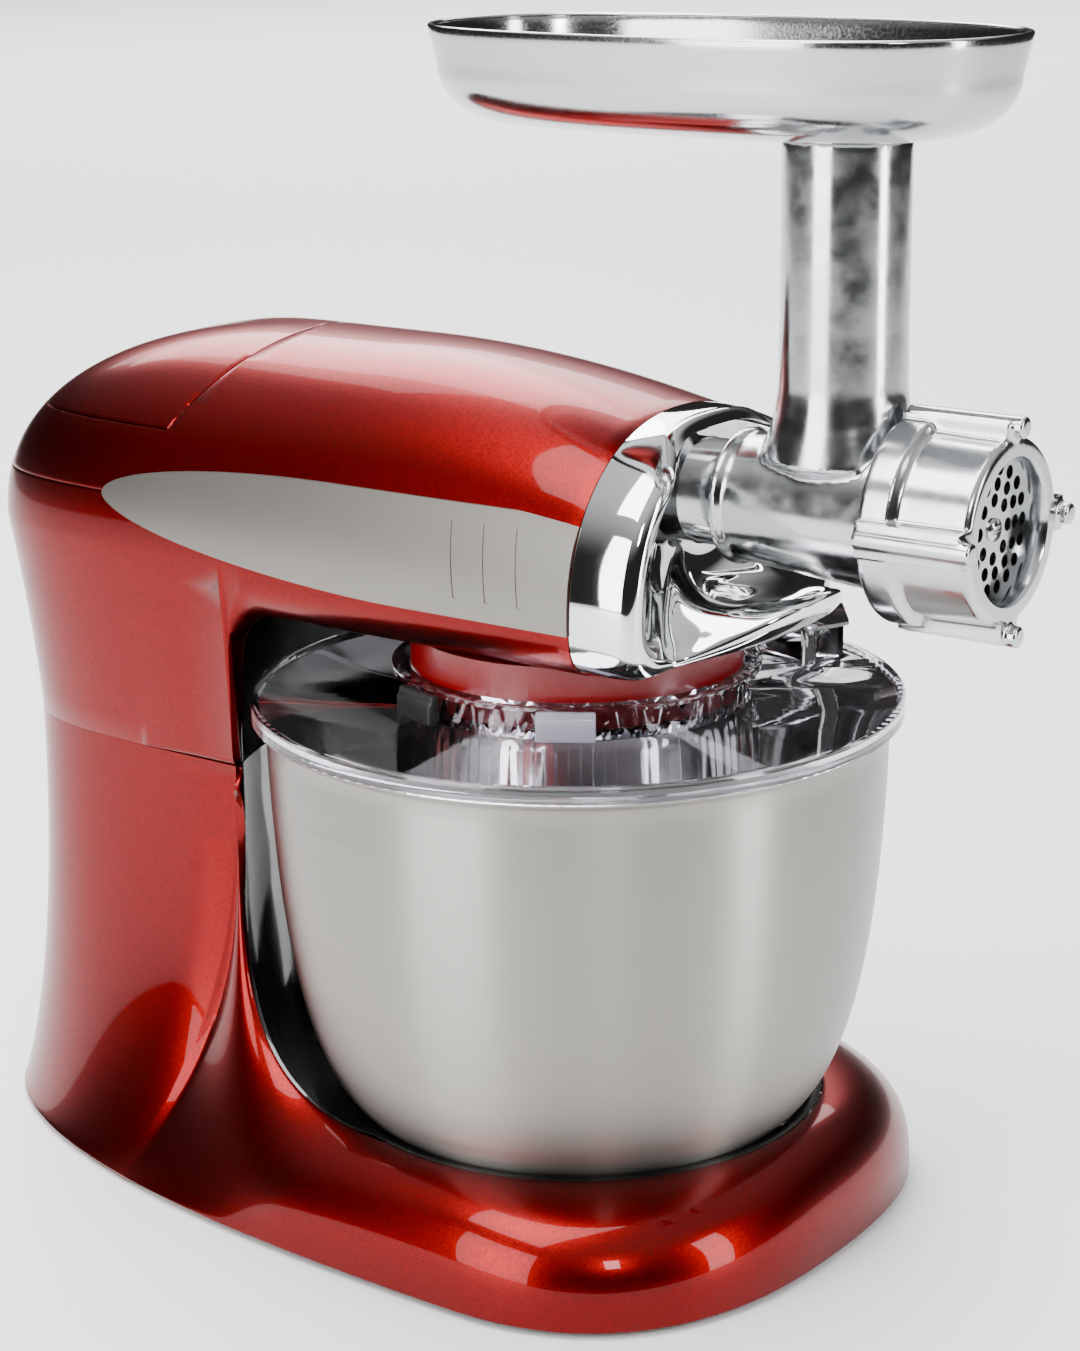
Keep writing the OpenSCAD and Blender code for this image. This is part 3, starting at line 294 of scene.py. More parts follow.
cadNodes = frame["nodes"]
print("materials made", len(finishes), "CAD nodes found", len(cadNodes))


def dress(piece, slot):
    piece.data.materials.clear()
    piece.data.materials.append(finishes[slot])


for name, piece in cadNodes.items():
    for place in piece.material_slots:
        place.material = finishes[slotOf[name]]


def standIn(piece, node):
    # the piece is seen in the place of a CAD node, on the same body and with the same finish
    dress(piece, slotOf[node])
    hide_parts(node)
    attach(piece, bodyOf[node])


# ---- Small helpers for the making of pieces ----

def meshPiece(name, points, faces):
    data = bpy.data.meshes.new(name)
    data.from_pydata([[c * mm for c in p] for p in points], [], faces)
    piece = bpy.data.objects.new(name, data)
    bpy.context.scene.collection.objects.link(piece)
    return piece


def skin(name, rings, closed):
    # a sheet through a stack of rings, whose points are in millimetres about the bowl's axis
    count = len(rings[0])
    points = [(p[0], p[1] + axisY / mm, p[2]) for ring in rings for p in ring]
    faces = [(j * count + i, j * count + (i + 1) % count, (j + 1) * count + (i + 1) % count, (j + 1) * count + i)
             for j in range(len(rings) - 1) for i in range(count if closed else count - 1)]
    return meshPiece(name, points, faces)


def prismFaces(n):
    # two ends and the sides between them, for two outlines of n points each
    ends = [tuple(range(n - 1, -1, -1)), tuple(range(n, 2 * n))]
    return ends + [(k, (k + 1) % n, n + (k + 1) % n, n + k) for k in range(n)]


def merged(piece, distance=0.00001, outwards=True):
    selectOnly(piece)
    bpy.ops.object.mode_set(mode="EDIT")
    bpy.ops.mesh.select_all(action="SELECT")
    bpy.ops.mesh.remove_doubles(threshold=distance)
    bpy.ops.mesh.delete_loose()
    bpy.ops.mesh.select_all(action="SELECT")
    if outwards:
        bpy.ops.mesh.normals_make_consistent(inside=False)
    bpy.ops.object.mode_set(mode="OBJECT")


def apply(piece, kind, **settings):
    selectOnly(piece)
    modifier = piece.modifiers.new(kind.lower(), kind)
    for key, value in settings.items():
        setattr(modifier, key, value)
    bpy.ops.object.modifier_apply(modifier=modifier.name)


def cut(piece, tool, operation="DIFFERENCE", solver="EXACT"):
    apply(piece, "BOOLEAN", object=tool, operation=operation, solver=solver)
    bpy.data.objects.remove(tool)


def smooth(piece, angle=35):
    selectOnly(piece)
    bpy.ops.object.shade_smooth_by_angle(angle=radians(angle))


def settle(piece):
    selectOnly(piece)
    bpy.ops.object.transform_apply(location=True, rotation=True, scale=True)


def copyOf(node, name, angle=32):
    # a merged copy of a CAD node, with soft shading
    piece = bpy.data.objects.new(name, cadNodes[node].data.copy())
    bpy.context.scene.collection.objects.link(piece)
    merged(piece, outwards=False)
    smooth(piece, angle)
    standIn(piece, node)
    return piece


def turned(name, profile, steps=96, axis="Z", at=(0, 0)):
    # a body of revolution: profile holds (radius, height) in millimetres, spun about Z at the place `at`
    points, faces, count = [], [], len(profile)
    for k in range(steps):
        a = 2 * pi * k / steps
        points += [(r * cos(a), r * sin(a), h) for r, h in profile]
    for k in range(steps):
        n = (k + 1) % steps
        faces += [(k * count + i, n * count + i, n * count + (i + 1) % count, k * count + (i + 1) % count)
                  for i in range(count)]
    if axis == "-Y":
        points = [(x, -z + axisY / mm, y + driveZ / mm) for x, y, z in points]
    else:
        points = [(x + at[0], y + at[1] + axisY / mm, z) for x, y, z in points]
    piece = meshPiece(name, points, faces)
    merged(piece)
    return piece


def lerp(a, b, t):
    return a + (b - a) * t


def bezier(p, t):
    w = ((1 - t) ** 3, 3 * t * (1 - t) ** 2, 3 * t * t * (1 - t), t ** 3)
    return [sum(w[k] * p[k][c] for k in range(4)) for c in range(len(p[0]))]


def quarter(a, rx, ry, n):
    # a quarter of a superellipse, from the first axis at 0 to the second at 90 degrees
    return rx * max(0, cos(radians(a))) ** (2 / n), ry * max(0, sin(radians(a))) ** (2 / n)


def both(half):
    return half + [(-p[0], p[1], p[2]) for p in reversed(half)]


# ---- Base ----

base = {"halfW": 120, "front": 118, "rear": 268, "middle": 20, "lift": 2.7, "frontN": 2.5, "rearN": 2.5,
        "ridgeR": 94, "ridgeZ": 43, "columnW": 64, "columnR": 130, "columnN": 4, "seamZ": 165, "columnRear": 246,
        "wall": 3, "steps": 40, "levels": 34, "hingeY": 235, "tilt": 36, "roomSize": 60,
        "roomHalfW": 100, "play": 0.4, "edgeTurn": 14, "footTurn": (12, 32)}
columnMid = sqrt(base["columnR"] ** 2 - base["columnW"] ** 2) + 2


def footPoint(s, d=0):
    # s runs 0 to 3: along the front, round the middle, along the rear
    first, second = base["footTurn"]
    a = lerp(-90, first, s) if s < 1 else lerp(first, second, s - 1) if s < 2 else lerp(second, 90, s - 2)
    reach = base["front"] - base["middle"] if a < 0 else base["rear"] + base["middle"]
    x, y = quarter(abs(a), base["halfW"] - d, reach - d, base["frontN"] if a < 0 else base["rearN"])
    return x, (-y if a < 0 else y) - base["middle"]


def edgePoint(s, d=0):
    # the top edge over footPoint's s: round the recess, up the column's front, round the column's rear
    r, w, z = base["ridgeR"] - d, base["columnW"] - d, base["ridgeZ"]
    if s < 1:
        a = radians(lerp(-90, base["edgeTurn"], s))
        return r * cos(a), r * sin(a), z
    if s < 2:
        turn = radians(base["edgeTurn"])
        start = (r * cos(turn), r * sin(turn), z)
        return bezier((start, (r - 4, 92, z), (w, columnMid + 2, 72), (w, columnMid, base["seamZ"])), s - 1)
    x, y = quarter(lerp(0, 90, s - 2), w, base["columnRear"] - columnMid - d, base["columnN"])
    return x, columnMid + y, base["seamZ"]


def baseRing(u, d=0):
    half = []
    for k in range(3 * base["steps"] + 1):
        s = k / base["steps"]
        b, t = footPoint(s, d), edgePoint(s, d)
        rear = min(1, max(0, s - 0.9))
        h = lerp(1 - (1 - u ** 2.2) ** 0.6, 1 - (1 - u) ** 2.2, rear)
        v = lerp(u ** 0.75, u ** 1.15, rear)
        half.append((lerp(b[0], t[0], h), lerp(b[1], t[1], h), lerp(base["lift"], t[2], v)))
    return both(half)


def tiltRoom():
    # the room behind the hinge that the head's rear edge sinks into when it tips back
    a, s = radians(-base["tilt"]), base["roomSize"]
    square = ((0, 0), (s, 0), (s, s), (0, s))
    corners = [(x, y, z) for x in (-base["roomHalfW"], base["roomHalfW"]) for y, z in square]
    points = [(x, base["hingeY"] + y * cos(a) - z * sin(a) + axisY / mm,
               base["seamZ"] + y * sin(a) + z * cos(a)) for x, y, z in corners]
    room = meshPiece("tiltRoom", points, prismFaces(4))
    merged(room)
    return room


def makeBase():
    rings = [baseRing(0.5 - 0.5 * cos(pi * k / base["levels"])) for k in range(base["levels"] + 1)]
    shell = skin("baseShell", rings, True)
    merged(shell, 0.00002)
    apply(shell, "SOLIDIFY", thickness=base["wall"] * mm, offset=-1)
    for node in ("knob_bezel", "release_button"):
        low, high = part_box(node)
        middle = [(a + b) / 2 for a, b in zip(low, high)]
        bpy.ops.mesh.primitive_cylinder_add(vertices=64, radius=(high[2] - low[2]) / 2 + base["play"] * mm,
                                            depth=0.06, location=middle, rotation=(0, pi / 2, 0))
        cut(shell, bpy.context.object)
    cut(shell, tiltRoom())
    apply(shell, "BEVEL", width=0.0007, segments=2, limit_method="ANGLE", angle_limit=radians(50))
    smooth(shell, 50)
    standIn(shell, "base_shell")


makeBase()
print("base made")

# ---- Head ----

head = {"halfW": 70, "bottomZ": 225, "topZ": 326, "front": 46, "rear": 256, "sideZ": 246, "n": 2.2, "edge": 15,
        "crownY": 75, "crownFall": 14.5, "splitZ": 266, "coverZ": 292, "coverY": 194, "coverR": 76, "seam": 0.5,
        "wall": 3, "per": 6, "corner": 15, "neck": 25, "above": 400, "beyond": 120}


def ridgeZ(y):
    fall = ((head["crownY"] - y) / (head["crownY"] + head["front"])) ** 2 if y < head["crownY"] else 0
    return head["topZ"] - head["crownFall"] * fall


def headHalf(w, rear):
    # half of the head's outline from above: the straight side, the neck, and the round rear; i counts along it
    half = []
    for k in range(21 * head["per"] + 9):
        i = k / head["per"]
        if i <= 4:
            half.append((w, lerp(-head["front"], columnMid - head["neck"], i / 4), i))
        elif i <= 10:
            half.append((w, columnMid - head["neck"] * ((10 - i) / 6) ** 2, i))
        elif i < 21.2:
            x, y = quarter((i - 10) * 8, w, rear - columnMid, base["columnN"])
            half.append((x, columnMid + y, i))
    x, y = quarter(90, w, rear - columnMid, base["columnN"])
    half.append((0, columnMid + y, 21.5))
    return half


def underZ(i):
    # the underside runs level, turns down in a round corner, and drops along the column's front
    r, y = head["corner"], head["neck"] * ((10 - i) / 6) ** 2
    if i >= 10:
        return base["seamZ"]
    if i <= 4 or y >= r + 2:
        return head["bottomZ"]
    if y > 2:
        return head["bottomZ"] - r + sqrt(max(0, r * r - (r + 2 - y) ** 2))
    return lerp(base["seamZ"], head["bottomZ"] - r, y / 2)


def lowRing(share, a, d=0):
    rear = lerp(base["columnRear"], head["rear"], share ** 1.6) - d
    ring = []
    for x, y, i in headHalf(head["halfW"] - d, rear):
        c = min(1, max(0, (i - 6) / 5))
        slim = 1 - (1 - base["columnW"] / head["halfW"]) * c * (1 - share)
        edge = (head["edge"] - d) * (1 - c)
        back = edge * (1 - sin(radians(a))) if share == 0 else 0
        ring.append((x * slim - back, y, lerp(underZ(i) + edge * (1 - cos(radians(a))), head["sideZ"], share)))
    return both(ring)


def topRing(a, d=0):
    inwards = max(0, cos(radians(a)))
    rear = lerp(columnMid + 3, head["rear"] - d, inwards ** 0.9)
    points = headHalf((head["halfW"] - d) * inwards ** (2 / head["n"]), rear)
    up = sin(radians(a)) ** (2 / head["n"])
    return both([(x, y, head["sideZ"] + (ridgeZ(y) - d - head["sideZ"]) * up) for x, y, i in points])


def headRings(d=0, low=True):
    # the rings of the head's skin, from its underside to its ridge; without low they begin above the side's foot
    rings = [lowRing(0, a, d) for a in range(0, 91, 10)] + [lowRing(k / 8, 90, d) for k in range(1, 8)]
    if not low:
        rings = rings[8:]
    rings += [topRing(a, d) for a in [0, 0.5, 1.2, 2] + list(range(4, 90, 2)) + [90]]
    return rings


def headUnderside():
    # strips across the head's flat underside, from its first ring
    count = len(lowRing(0, 0))
    return [(i, i + 1, count - 2 - i, count - 1 - i) for i in range(4 * head["per"] + 2)]


def prism(name, outline, z0, z1):
    points = [(x, y + axisY / mm, z) for z in (z0, z1) for x, y in outline]
    return meshPiece(name, points, prismFaces(len(outline)))


def coverOutline(d):
    # everything behind coverY, and a half circle in front of it
    r, y, far = head["coverR"] + d, head["coverY"], head["beyond"]
    arc = [(-r * cos(pi * k / 64), y - r * sin(pi * k / 64)) for k in range(65)]
    return [(far, y + far), (-far, y + far), (-far, y)] + arc + [(far, y)]


def headShell(name):
    shell = skin(name, headRings(), False)
    mesh = bmesh.new()
    mesh.from_mesh(shell.data)
    mesh.verts.ensure_lookup_table()
    for face in headUnderside():
        mesh.faces.new([mesh.verts[k] for k in face])
    mesh.to_mesh(shell.data)
    mesh.free()
    merged(shell, 0.00003)
    return shell


def bisected(piece, z, keepAbove):
    selectOnly(piece)
    bpy.ops.object.mode_set(mode="EDIT")
    bpy.ops.mesh.select_all(action="SELECT")
    bpy.ops.mesh.bisect(plane_co=(0, 0, z * mm), plane_no=(0, 0, 1), clear_inner=keepAbove,
                        clear_outer=not keepAbove)
    bpy.ops.object.mode_set(mode="OBJECT")


def makeHead():
    lower, upper, cover = headShell("headLowerShell"), headShell("headUpperShell"), headShell("rearCover")
    bisected(lower, head["splitZ"], False)
    bisected(upper, head["splitZ"] + head["seam"], True)
    bisected(cover, head["coverZ"] - 4, True)
    for shell in (lower, upper, cover):
        apply(shell, "SOLIDIFY", thickness=head["wall"] * mm, offset=-1)
    cut(upper, prism("opening", coverOutline(head["seam"]), head["coverZ"] - head["seam"], head["above"]))
    cut(cover, prism("opening", coverOutline(0), head["coverZ"], head["above"]), "INTERSECT")
    for shell, node in ((lower, "head_lower_shell"), (upper, "head_upper_shell"), (cover, "rear_cover")):
        apply(shell, "BEVEL", width=0.0004, segments=2, limit_method="ANGLE", angle_limit=radians(55))
        smooth(shell, 50)
        standIn(shell, node)


makeHead()
print("head made")

# ---- Silver side panels ----

panel = {"low": 242, "high": 282, "front": 45.9, "rear": 174, "tipZ": 266, "proud": 1.0, "depth": 1.6,
         "grooves": [-26, -12, 2], "grooveW": 2.2, "grooveLow": 249, "grooveHigh": 276, "slant": 3.0,
         "grooveDepth": 0.3, "cutterDepth": 4, "inX": 20, "outX": 120, "rings": 26}


def panelOutline():
    points = [(-panel["front"], panel["low"]), (-panel["front"], panel["high"])]
    for k in range(31):
        y, z = quarter(90 - 3 * k, panel["rear"] - 60, panel["high"] - panel["tipZ"], 2)
        points.append((60 + y, panel["tipZ"] + z))
    for k in range(1, 31):
        y, z = quarter(3 * k, panel["rear"] - 30, panel["tipZ"] - panel["low"], 1.7)
        points.append((30 + y, panel["tipZ"] - z))
    return points


def sidePrism(outline, x0, x1):
    # an outline drawn from the side, with Y and Z, pushed out along X
    points = [(x, y + axisY / mm, z) for x in (x0, x1) for y, z in outline]
    piece = meshPiece("prism", points, prismFaces(len(outline)))
    merged(piece)
    return piece


def sideSheet(name, inset, thickness, offset):
    # the head's right side as a sheet, moved in by inset, with its thickness on the side that offset says
    rings = headRings(inset, False)[:panel["rings"]]
    sheet = skin(name, [ring[:len(ring) // 2] for ring in rings], False)
    merged(sheet, 0.00003)
    apply(sheet, "SOLIDIFY", thickness=thickness * mm, offset=offset)
    return sheet


def makePanels():
    w, lean, low, high = panel["grooveW"] / 2, panel["slant"], panel["grooveLow"], panel["grooveHigh"]
    plate = sideSheet("sidePanelRight", -panel["proud"], panel["depth"], -1)
    cut(plate, sidePrism(panelOutline(), panel["inX"], panel["outX"]), "INTERSECT")
    for y in panel["grooves"]:
        over = sideSheet("over", panel["grooveDepth"] - panel["proud"], panel["cutterDepth"], 1)
        groove = sidePrism([(y - w, low), (y + w, low), (y + w + lean, high), (y - w + lean, high)],
                           panel["inX"], panel["outX"])
        cut(over, groove, "INTERSECT")
        cut(plate, over)
    apply(plate, "BEVEL", width=0.0003, segments=2, limit_method="ANGLE", angle_limit=radians(50))
    left = plate.copy()
    left.data = plate.data.copy()
    bpy.context.scene.collection.objects.link(left)
    left.name = "sidePanelLeft"
    left.scale.x = -1
    settle(left)
    merged(left)
    for piece, node in ((plate, "side_panel_right"), (left, "side_panel_left")):
        smooth(piece, 40)
        standIn(piece, node)


makePanels()
print("panels made")

# ---- Chrome front cap ----

cap = {"y0": 46.3, "well": 57, "wellR": 33, "hubR": 19.4, "wall": 2.4, "sideY": 72, "topY": 60, "lipY": 110,
       "columns": 64, "lipHalf": 46, "lipZ": (233, 252), "slotY": 72, "slotZ": -34.5, "slotR": (31, 25),
       "slotFloor": 60, "lipIn": (76, -34), "lowHalf": 62, "lowFade": 34}


def frontOutline():
    # the head's front end as (x, z), from under it round the +X side to the ridge
    rings = headRings()
    half = [(0, rings[0][0][2])] + [(ring[0][0], ring[0][2]) for ring in rings]
    return half + [(-x, z) for x, z in reversed(half[1:-1])]


def resampled(outline, count):
    # evenly spaced points along a closed outline
    loop = outline + [outline[0]]
    lengths = [0]
    for a, b in zip(loop, loop[1:]):
        lengths.append(lengths[-1] + hypot(b[0] - a[0], b[1] - a[1]))
    points, k = [], 0
    for step in range(count):
        want = lengths[-1] * step / count
        while lengths[k + 1] < want:
            k += 1
        t = (want - lengths[k]) / max(1e-9, lengths[k + 1] - lengths[k])
        points.append((lerp(loop[k][0], loop[k + 1][0], t), lerp(loop[k][1], loop[k + 1][1], t)))
    return points


def rise(t):
    # a smooth step from 0 to 1
    t = min(1, max(0, t))
    return t * t * (3 - 2 * t)


def makeCap():
    c, drive = cap, driveZ / mm
    rows = []
    for x, z in resampled(frontOutline(), c["columns"]):
        away = hypot(x, z - drive)
        ux, uz = x / away, (z - drive) / away
        # how far the column belongs to the lower lip, and to the top
        down = rise((-uz - 0.25) / 0.5) * rise((c["lowHalf"] - abs(x)) / c["lowFade"])
        up = rise((uz - 0.1) / 0.8)
        tipY = lerp(c["sideY"], c["topY"], up)
        well = min(c["wellR"], away - 5)
        side = [(ux * r, y, uz * r) for y, r in (
            (c["y0"], away), (lerp(c["y0"], tipY, 0.35), away), (lerp(c["y0"], tipY, 0.75), away - 0.6),
            (tipY - 2.2, away - 2.6), (tipY, away - lerp(7, 5, up)), (tipY - 1.0, away - lerp(12, 8, up)),
            (lerp(tipY, c["well"], 0.5), lerp(well, away, 0.45)), (lerp(tipY, c["well"], 0.9), well + 2),
            (c["well"], well - 3), (c["well"], lerp(c["hubR"], well, 0.4)), (c["well"], c["hubR"]))]
        off = min(1, abs(x) / c["lipHalf"])
        lipY = lerp(c["sideY"] + 3, c["lipY"], 1 - off ** 2.2)
        lipZ = lerp(*c["lipZ"], 1 - off ** 2) - drive
        low, (inY, inZ), (slotR, wellR) = z - drive, c["lipIn"], c["slotR"]
        lip = [(x, c["y0"], low), (x, lerp(c["y0"], lipY, 0.3), low + 0.4),
               (x * 0.99, lerp(c["y0"], lipY, 0.62), lerp(low, lipZ, 0.2)),
               (x * 0.96, lerp(c["y0"], lipY, 0.9), lerp(low, lipZ, 0.56)),
               (x * 0.92, lipY, lipZ - 1.5), (x * 0.88, lipY - 3, lipZ + 0.6),
               (x * 0.84, lerp(lipY, inY, 0.62), lerp(lipZ, inZ, 0.7)), (x * 0.8, c["slotY"], c["slotZ"]),
               (ux * slotR, c["slotFloor"], uz * slotR), (ux * wellR, c["well"], uz * wellR),
               (ux * c["hubR"], c["well"], uz * c["hubR"])]
        rows.append([(lerp(p[0], q[0], down), axisY / mm - lerp(p[1], q[1], down),
                      drive + lerp(p[2], q[2], down)) for p, q in zip(side, lip)])
    count, n = len(rows[0]), len(rows)
    faces = [(k * count + i, ((k + 1) % n) * count + i, ((k + 1) % n) * count + i + 1, k * count + i + 1)
             for k in range(n) for i in range(count - 1)]
    piece = meshPiece("frontCap", [p for row in rows for p in row], faces)
    merged(piece, 0.00001)
    apply(piece, "SUBSURF", levels=3, render_levels=3)
    apply(piece, "SOLIDIFY", thickness=c["wall"] * mm, offset=-1)
    smooth(piece, 60)
    standIn(piece, "front_cap")


makeCap()
print("cap made")

# ---- Grinder ----

grinder = {"flangeY": 72, "flangeR": 24, "flangeT": 4, "barrelR": 22.7, "barrelEnd": 26.9, "backY": 138,
           "threadR": 29, "threadEnd": 167.6, "tubeY": 112, "tubeR": 22, "tubeTop": 408.5, "tubeIn": 19.5,
           "spigotR": 15.2, "barrelIn": 19.5, "plateRoom": 26.3, "plateY": 160.6, "voxel": 0.95}


def castBody():
    g = grinder
    barrel = turned("grinderBody", [(9, 60.2), (g["spigotR"], 60.2), (g["spigotR"], 72), (g["flangeR"], 72.2),
                                    (g["flangeR"] + 0.6, 73.5), (g["flangeR"], 75.8), (g["barrelR"], 76.6),
                                    (g["barrelR"] + 0.4, 82), (g["barrelEnd"], g["backY"] - 2),
                                    (g["threadR"], g["backY"]), (g["threadR"], g["threadEnd"]),
                                    (g["plateRoom"], g["threadEnd"]), (g["plateRoom"], g["plateY"]),
                                    (g["barrelIn"], g["plateY"]), (g["barrelIn"], 74), (9, 74)], 128, "-Y")
    tubeLow = driveZ / mm + 2
    outer = turned("tube", [(0, tubeLow), (g["tubeR"] + 5.5, tubeLow + 16), (g["tubeR"] + 3.4, tubeLow + 24),
                            (g["tubeR"] + 1.4, tubeLow + 31), (g["tubeR"] + 0.3, tubeLow + 40),
                            (g["tubeR"], 345), (g["tubeR"], g["tubeTop"]), (0, g["tubeTop"])], 128,
                   at=(0, -g["tubeY"]))
    cut(barrel, outer, "UNION")
    inner = turned("hollow", [(0, tubeLow - 2), (g["tubeIn"], tubeLow - 2), (g["tubeIn"], 430), (0, 430)], 96,
                   at=(0, -g["tubeY"]))
    cut(barrel, inner)
    coreR = g["barrelIn"] - 0.1
    core = turned("core", [(0, 74.2), (coreR, 74.2), (coreR, 175), (0, 175)], 96, "-Y")
    cut(barrel, core)
    apply(barrel, "REMESH", mode="VOXEL", voxel_size=g["voxel"] * mm, use_smooth_shade=True)
    apply(barrel, "SMOOTH", factor=0.5, iterations=9)
    smooth(barrel, 70)
    standIn(barrel, "grinder_body")


castBody()
print("grinder body made")

nut = {"back": 138, "front": 178, "rearR": 36, "frontR": 32.6, "mouthR": 24.6, "threadR": 29.05, "shelf": 170.6,
       "lugR": 40.6, "lugHalf": 6, "knobR": 4.2, "knobTip": 4, "voxel": 0.75,
       "knobAt": 35.6, "lugFrom": 32, "lugMid": 26, "soften": 0.4}


def makeNut():
    n = nut
    body = turned("ringNut", [(0, n["back"]), (n["rearR"] - 0.8, n["back"]), (n["rearR"], n["back"] + 1),
                              (n["rearR"] - 0.3, n["back"] + 11), (n["frontR"], n["back"] + 13.5),
                              (n["frontR"] - 0.6, n["front"] - 2), (n["frontR"] - 2.2, n["front"]),
                              (0, n["front"])], 128, "-Y")
    parts = [body]
    for k in range(4):
        a = k * pi / 2
        bpy.ops.object.select_all(action="DESELECT")
        bpy.ops.mesh.primitive_cube_add(size=1)
        lug = bpy.context.object
        lug.scale = ((n["lugR"] - n["lugFrom"]) * mm, (n["front"] - n["back"] - 1) * mm, 2 * n["lugHalf"] * mm)
        settle(lug)
        lug.data.transform(Matrix.Translation(((n["lugR"] + n["lugMid"]) / 2 * mm, 0, 0)))
        lug.data.transform(Matrix.Rotation(a, 4, "Y"))
        lug.data.transform(Matrix.Translation((0, axisY - (n["front"] + n["back"]) / 2 * mm, driveZ)))
        parts.append(lug)
        length = n["front"] - n["back"] + n["knobTip"] - n["soften"]
        knobY = axisY - (n["back"] + n["soften"] / 2 + length / 2) * mm
        bpy.ops.mesh.primitive_cylinder_add(vertices=40, radius=(n["knobR"] - n["soften"]) * mm,
                                            depth=length * mm, rotation=(pi / 2, 0, 0),
                                            location=(cos(a) * n["knobAt"] * mm, knobY,
                                                      driveZ + sin(a) * n["knobAt"] * mm))
        knob = bpy.context.object
        settle(knob)
        parts.append(knob)
    selectOnly(*parts[::-1])
    bpy.ops.object.join()
    apply(body, "REMESH", mode="VOXEL", voxel_size=n["voxel"] * mm, use_smooth_shade=True)
    apply(body, "SMOOTH", factor=0.5, iterations=7)
    mouth = turned("mouth", [(0, n["back"] - 4), (n["threadR"], n["back"] - 4), (n["threadR"], n["shelf"]),
                             (n["mouthR"], n["shelf"]), (n["mouthR"], n["front"] - 1.2),
                             (n["mouthR"] + 1.6, n["front"] + 1), (n["mouthR"] + 1.6, 190), (0, 190)], 128, "-Y")
    cut(body, mouth)
    smooth(body, 40)
    standIn(body, "ring_nut")


makeNut()
print("ring nut made")

tray = {"floor": 409, "depth": 34.5, "halfL": 110, "halfW": 60, "middle": 61.5, "n": 2.6, "wall": 1.6,
        "bead": 1.1, "round": 26, "roundH": 20, "lean": 3, "spoutR": 19.2, "spoutIn": 17.4, "spoutLow": 395,
        "insets": (58, 52, 44, 36), "hole": (380, 425), "floorBand": 5}


def trayRing(inset, z, count=128):
    ring = []
    for k in range(count):
        a = 2 * pi * k / count
        x, y = quarter(degrees(acute(a)), tray["halfW"] - inset, tray["halfL"] - inset, tray["n"])
        ring.append((x if cos(a) >= 0 else -x, (y if sin(a) >= 0 else -y) - tray["middle"], z))
    return ring


def acute(a):
    return atan2(abs(sin(a)), abs(cos(a)))


def makeTray():
    t = tray
    top = t["floor"] + t["depth"]
    rings = [trayRing(t["lean"] + t["round"] * (1 - sin(radians(a))),
                      t["floor"] + t["roundH"] * (1 - cos(radians(a)))) for a in range(0, 90, 6)]
    rings += [trayRing(t["lean"] * (1 - k / 4), lerp(t["floor"] + t["roundH"], top - t["bead"], k / 4))
              for k in range(4)]
    rings += [trayRing(t["bead"] * (1 - cos(radians(a))), top - t["bead"] + t["bead"] * sin(radians(a)))
              for a in (0, 30, 60, 90, 130, 170)]
    sheet = skin("grinderTray", [trayRing(inset, t["floor"]) for inset in t["insets"]] + rings, True)
    merged(sheet, 0.00001)
    selectOnly(sheet)
    bpy.ops.object.mode_set(mode="EDIT")
    bpy.ops.mesh.select_all(action="DESELECT")
    bpy.ops.mesh.select_mode(type="EDGE")
    bpy.ops.mesh.select_non_manifold()
    bpy.ops.object.mode_set(mode="OBJECT")
    # only the floor's inner edge stays selected, to be filled
    limit = (t["floor"] + t["floorBand"]) * mm
    for edge in sheet.data.edges:
        if edge.select and max(sheet.data.vertices[v].co.z for v in edge.vertices) > limit:
            edge.select = False
    for vertex in sheet.data.vertices:
        if vertex.co.z > limit:
            vertex.select = False
    bpy.ops.object.mode_set(mode="EDIT")
    bpy.ops.mesh.edge_face_add()
    bpy.ops.object.mode_set(mode="OBJECT")
    apply(sheet, "SOLIDIFY", thickness=t["wall"] * mm, offset=-1)
    (low, high), r = t["hole"], t["spoutIn"] + 0.6
    hole = turned("hole", [(0, low), (r, low), (r, high), (0, high)], 96, at=(0, -grinder["tubeY"]))
    cut(sheet, hole)
    spout = turned("spout", [(t["spoutIn"], t["spoutLow"]), (t["spoutR"], t["spoutLow"]),
                             (t["spoutR"], t["floor"] + 0.9), (t["spoutIn"], t["floor"] + 1.5)], 96,
                   at=(0, -grinder["tubeY"]))
    cut(sheet, spout, "UNION")
    apply(sheet, "BEVEL", width=0.0003, segments=2, limit_method="ANGLE", angle_limit=radians(50))
    smooth(sheet, 50)
    standIn(sheet, "grinder_tray")


makeTray()
print("tray made")

# ---- Painted shade: a black liner over the bowl's recess, whose red body is only in shade; and the bowl ----

liner = {"r": 88.2, "floor": 23, "thick": 2.5, "inset": 3.3, "frontR": 130, "top": 164.7, "round": 8,
         "climbSteps": 24, "levels": 20, "lowZ": 30}


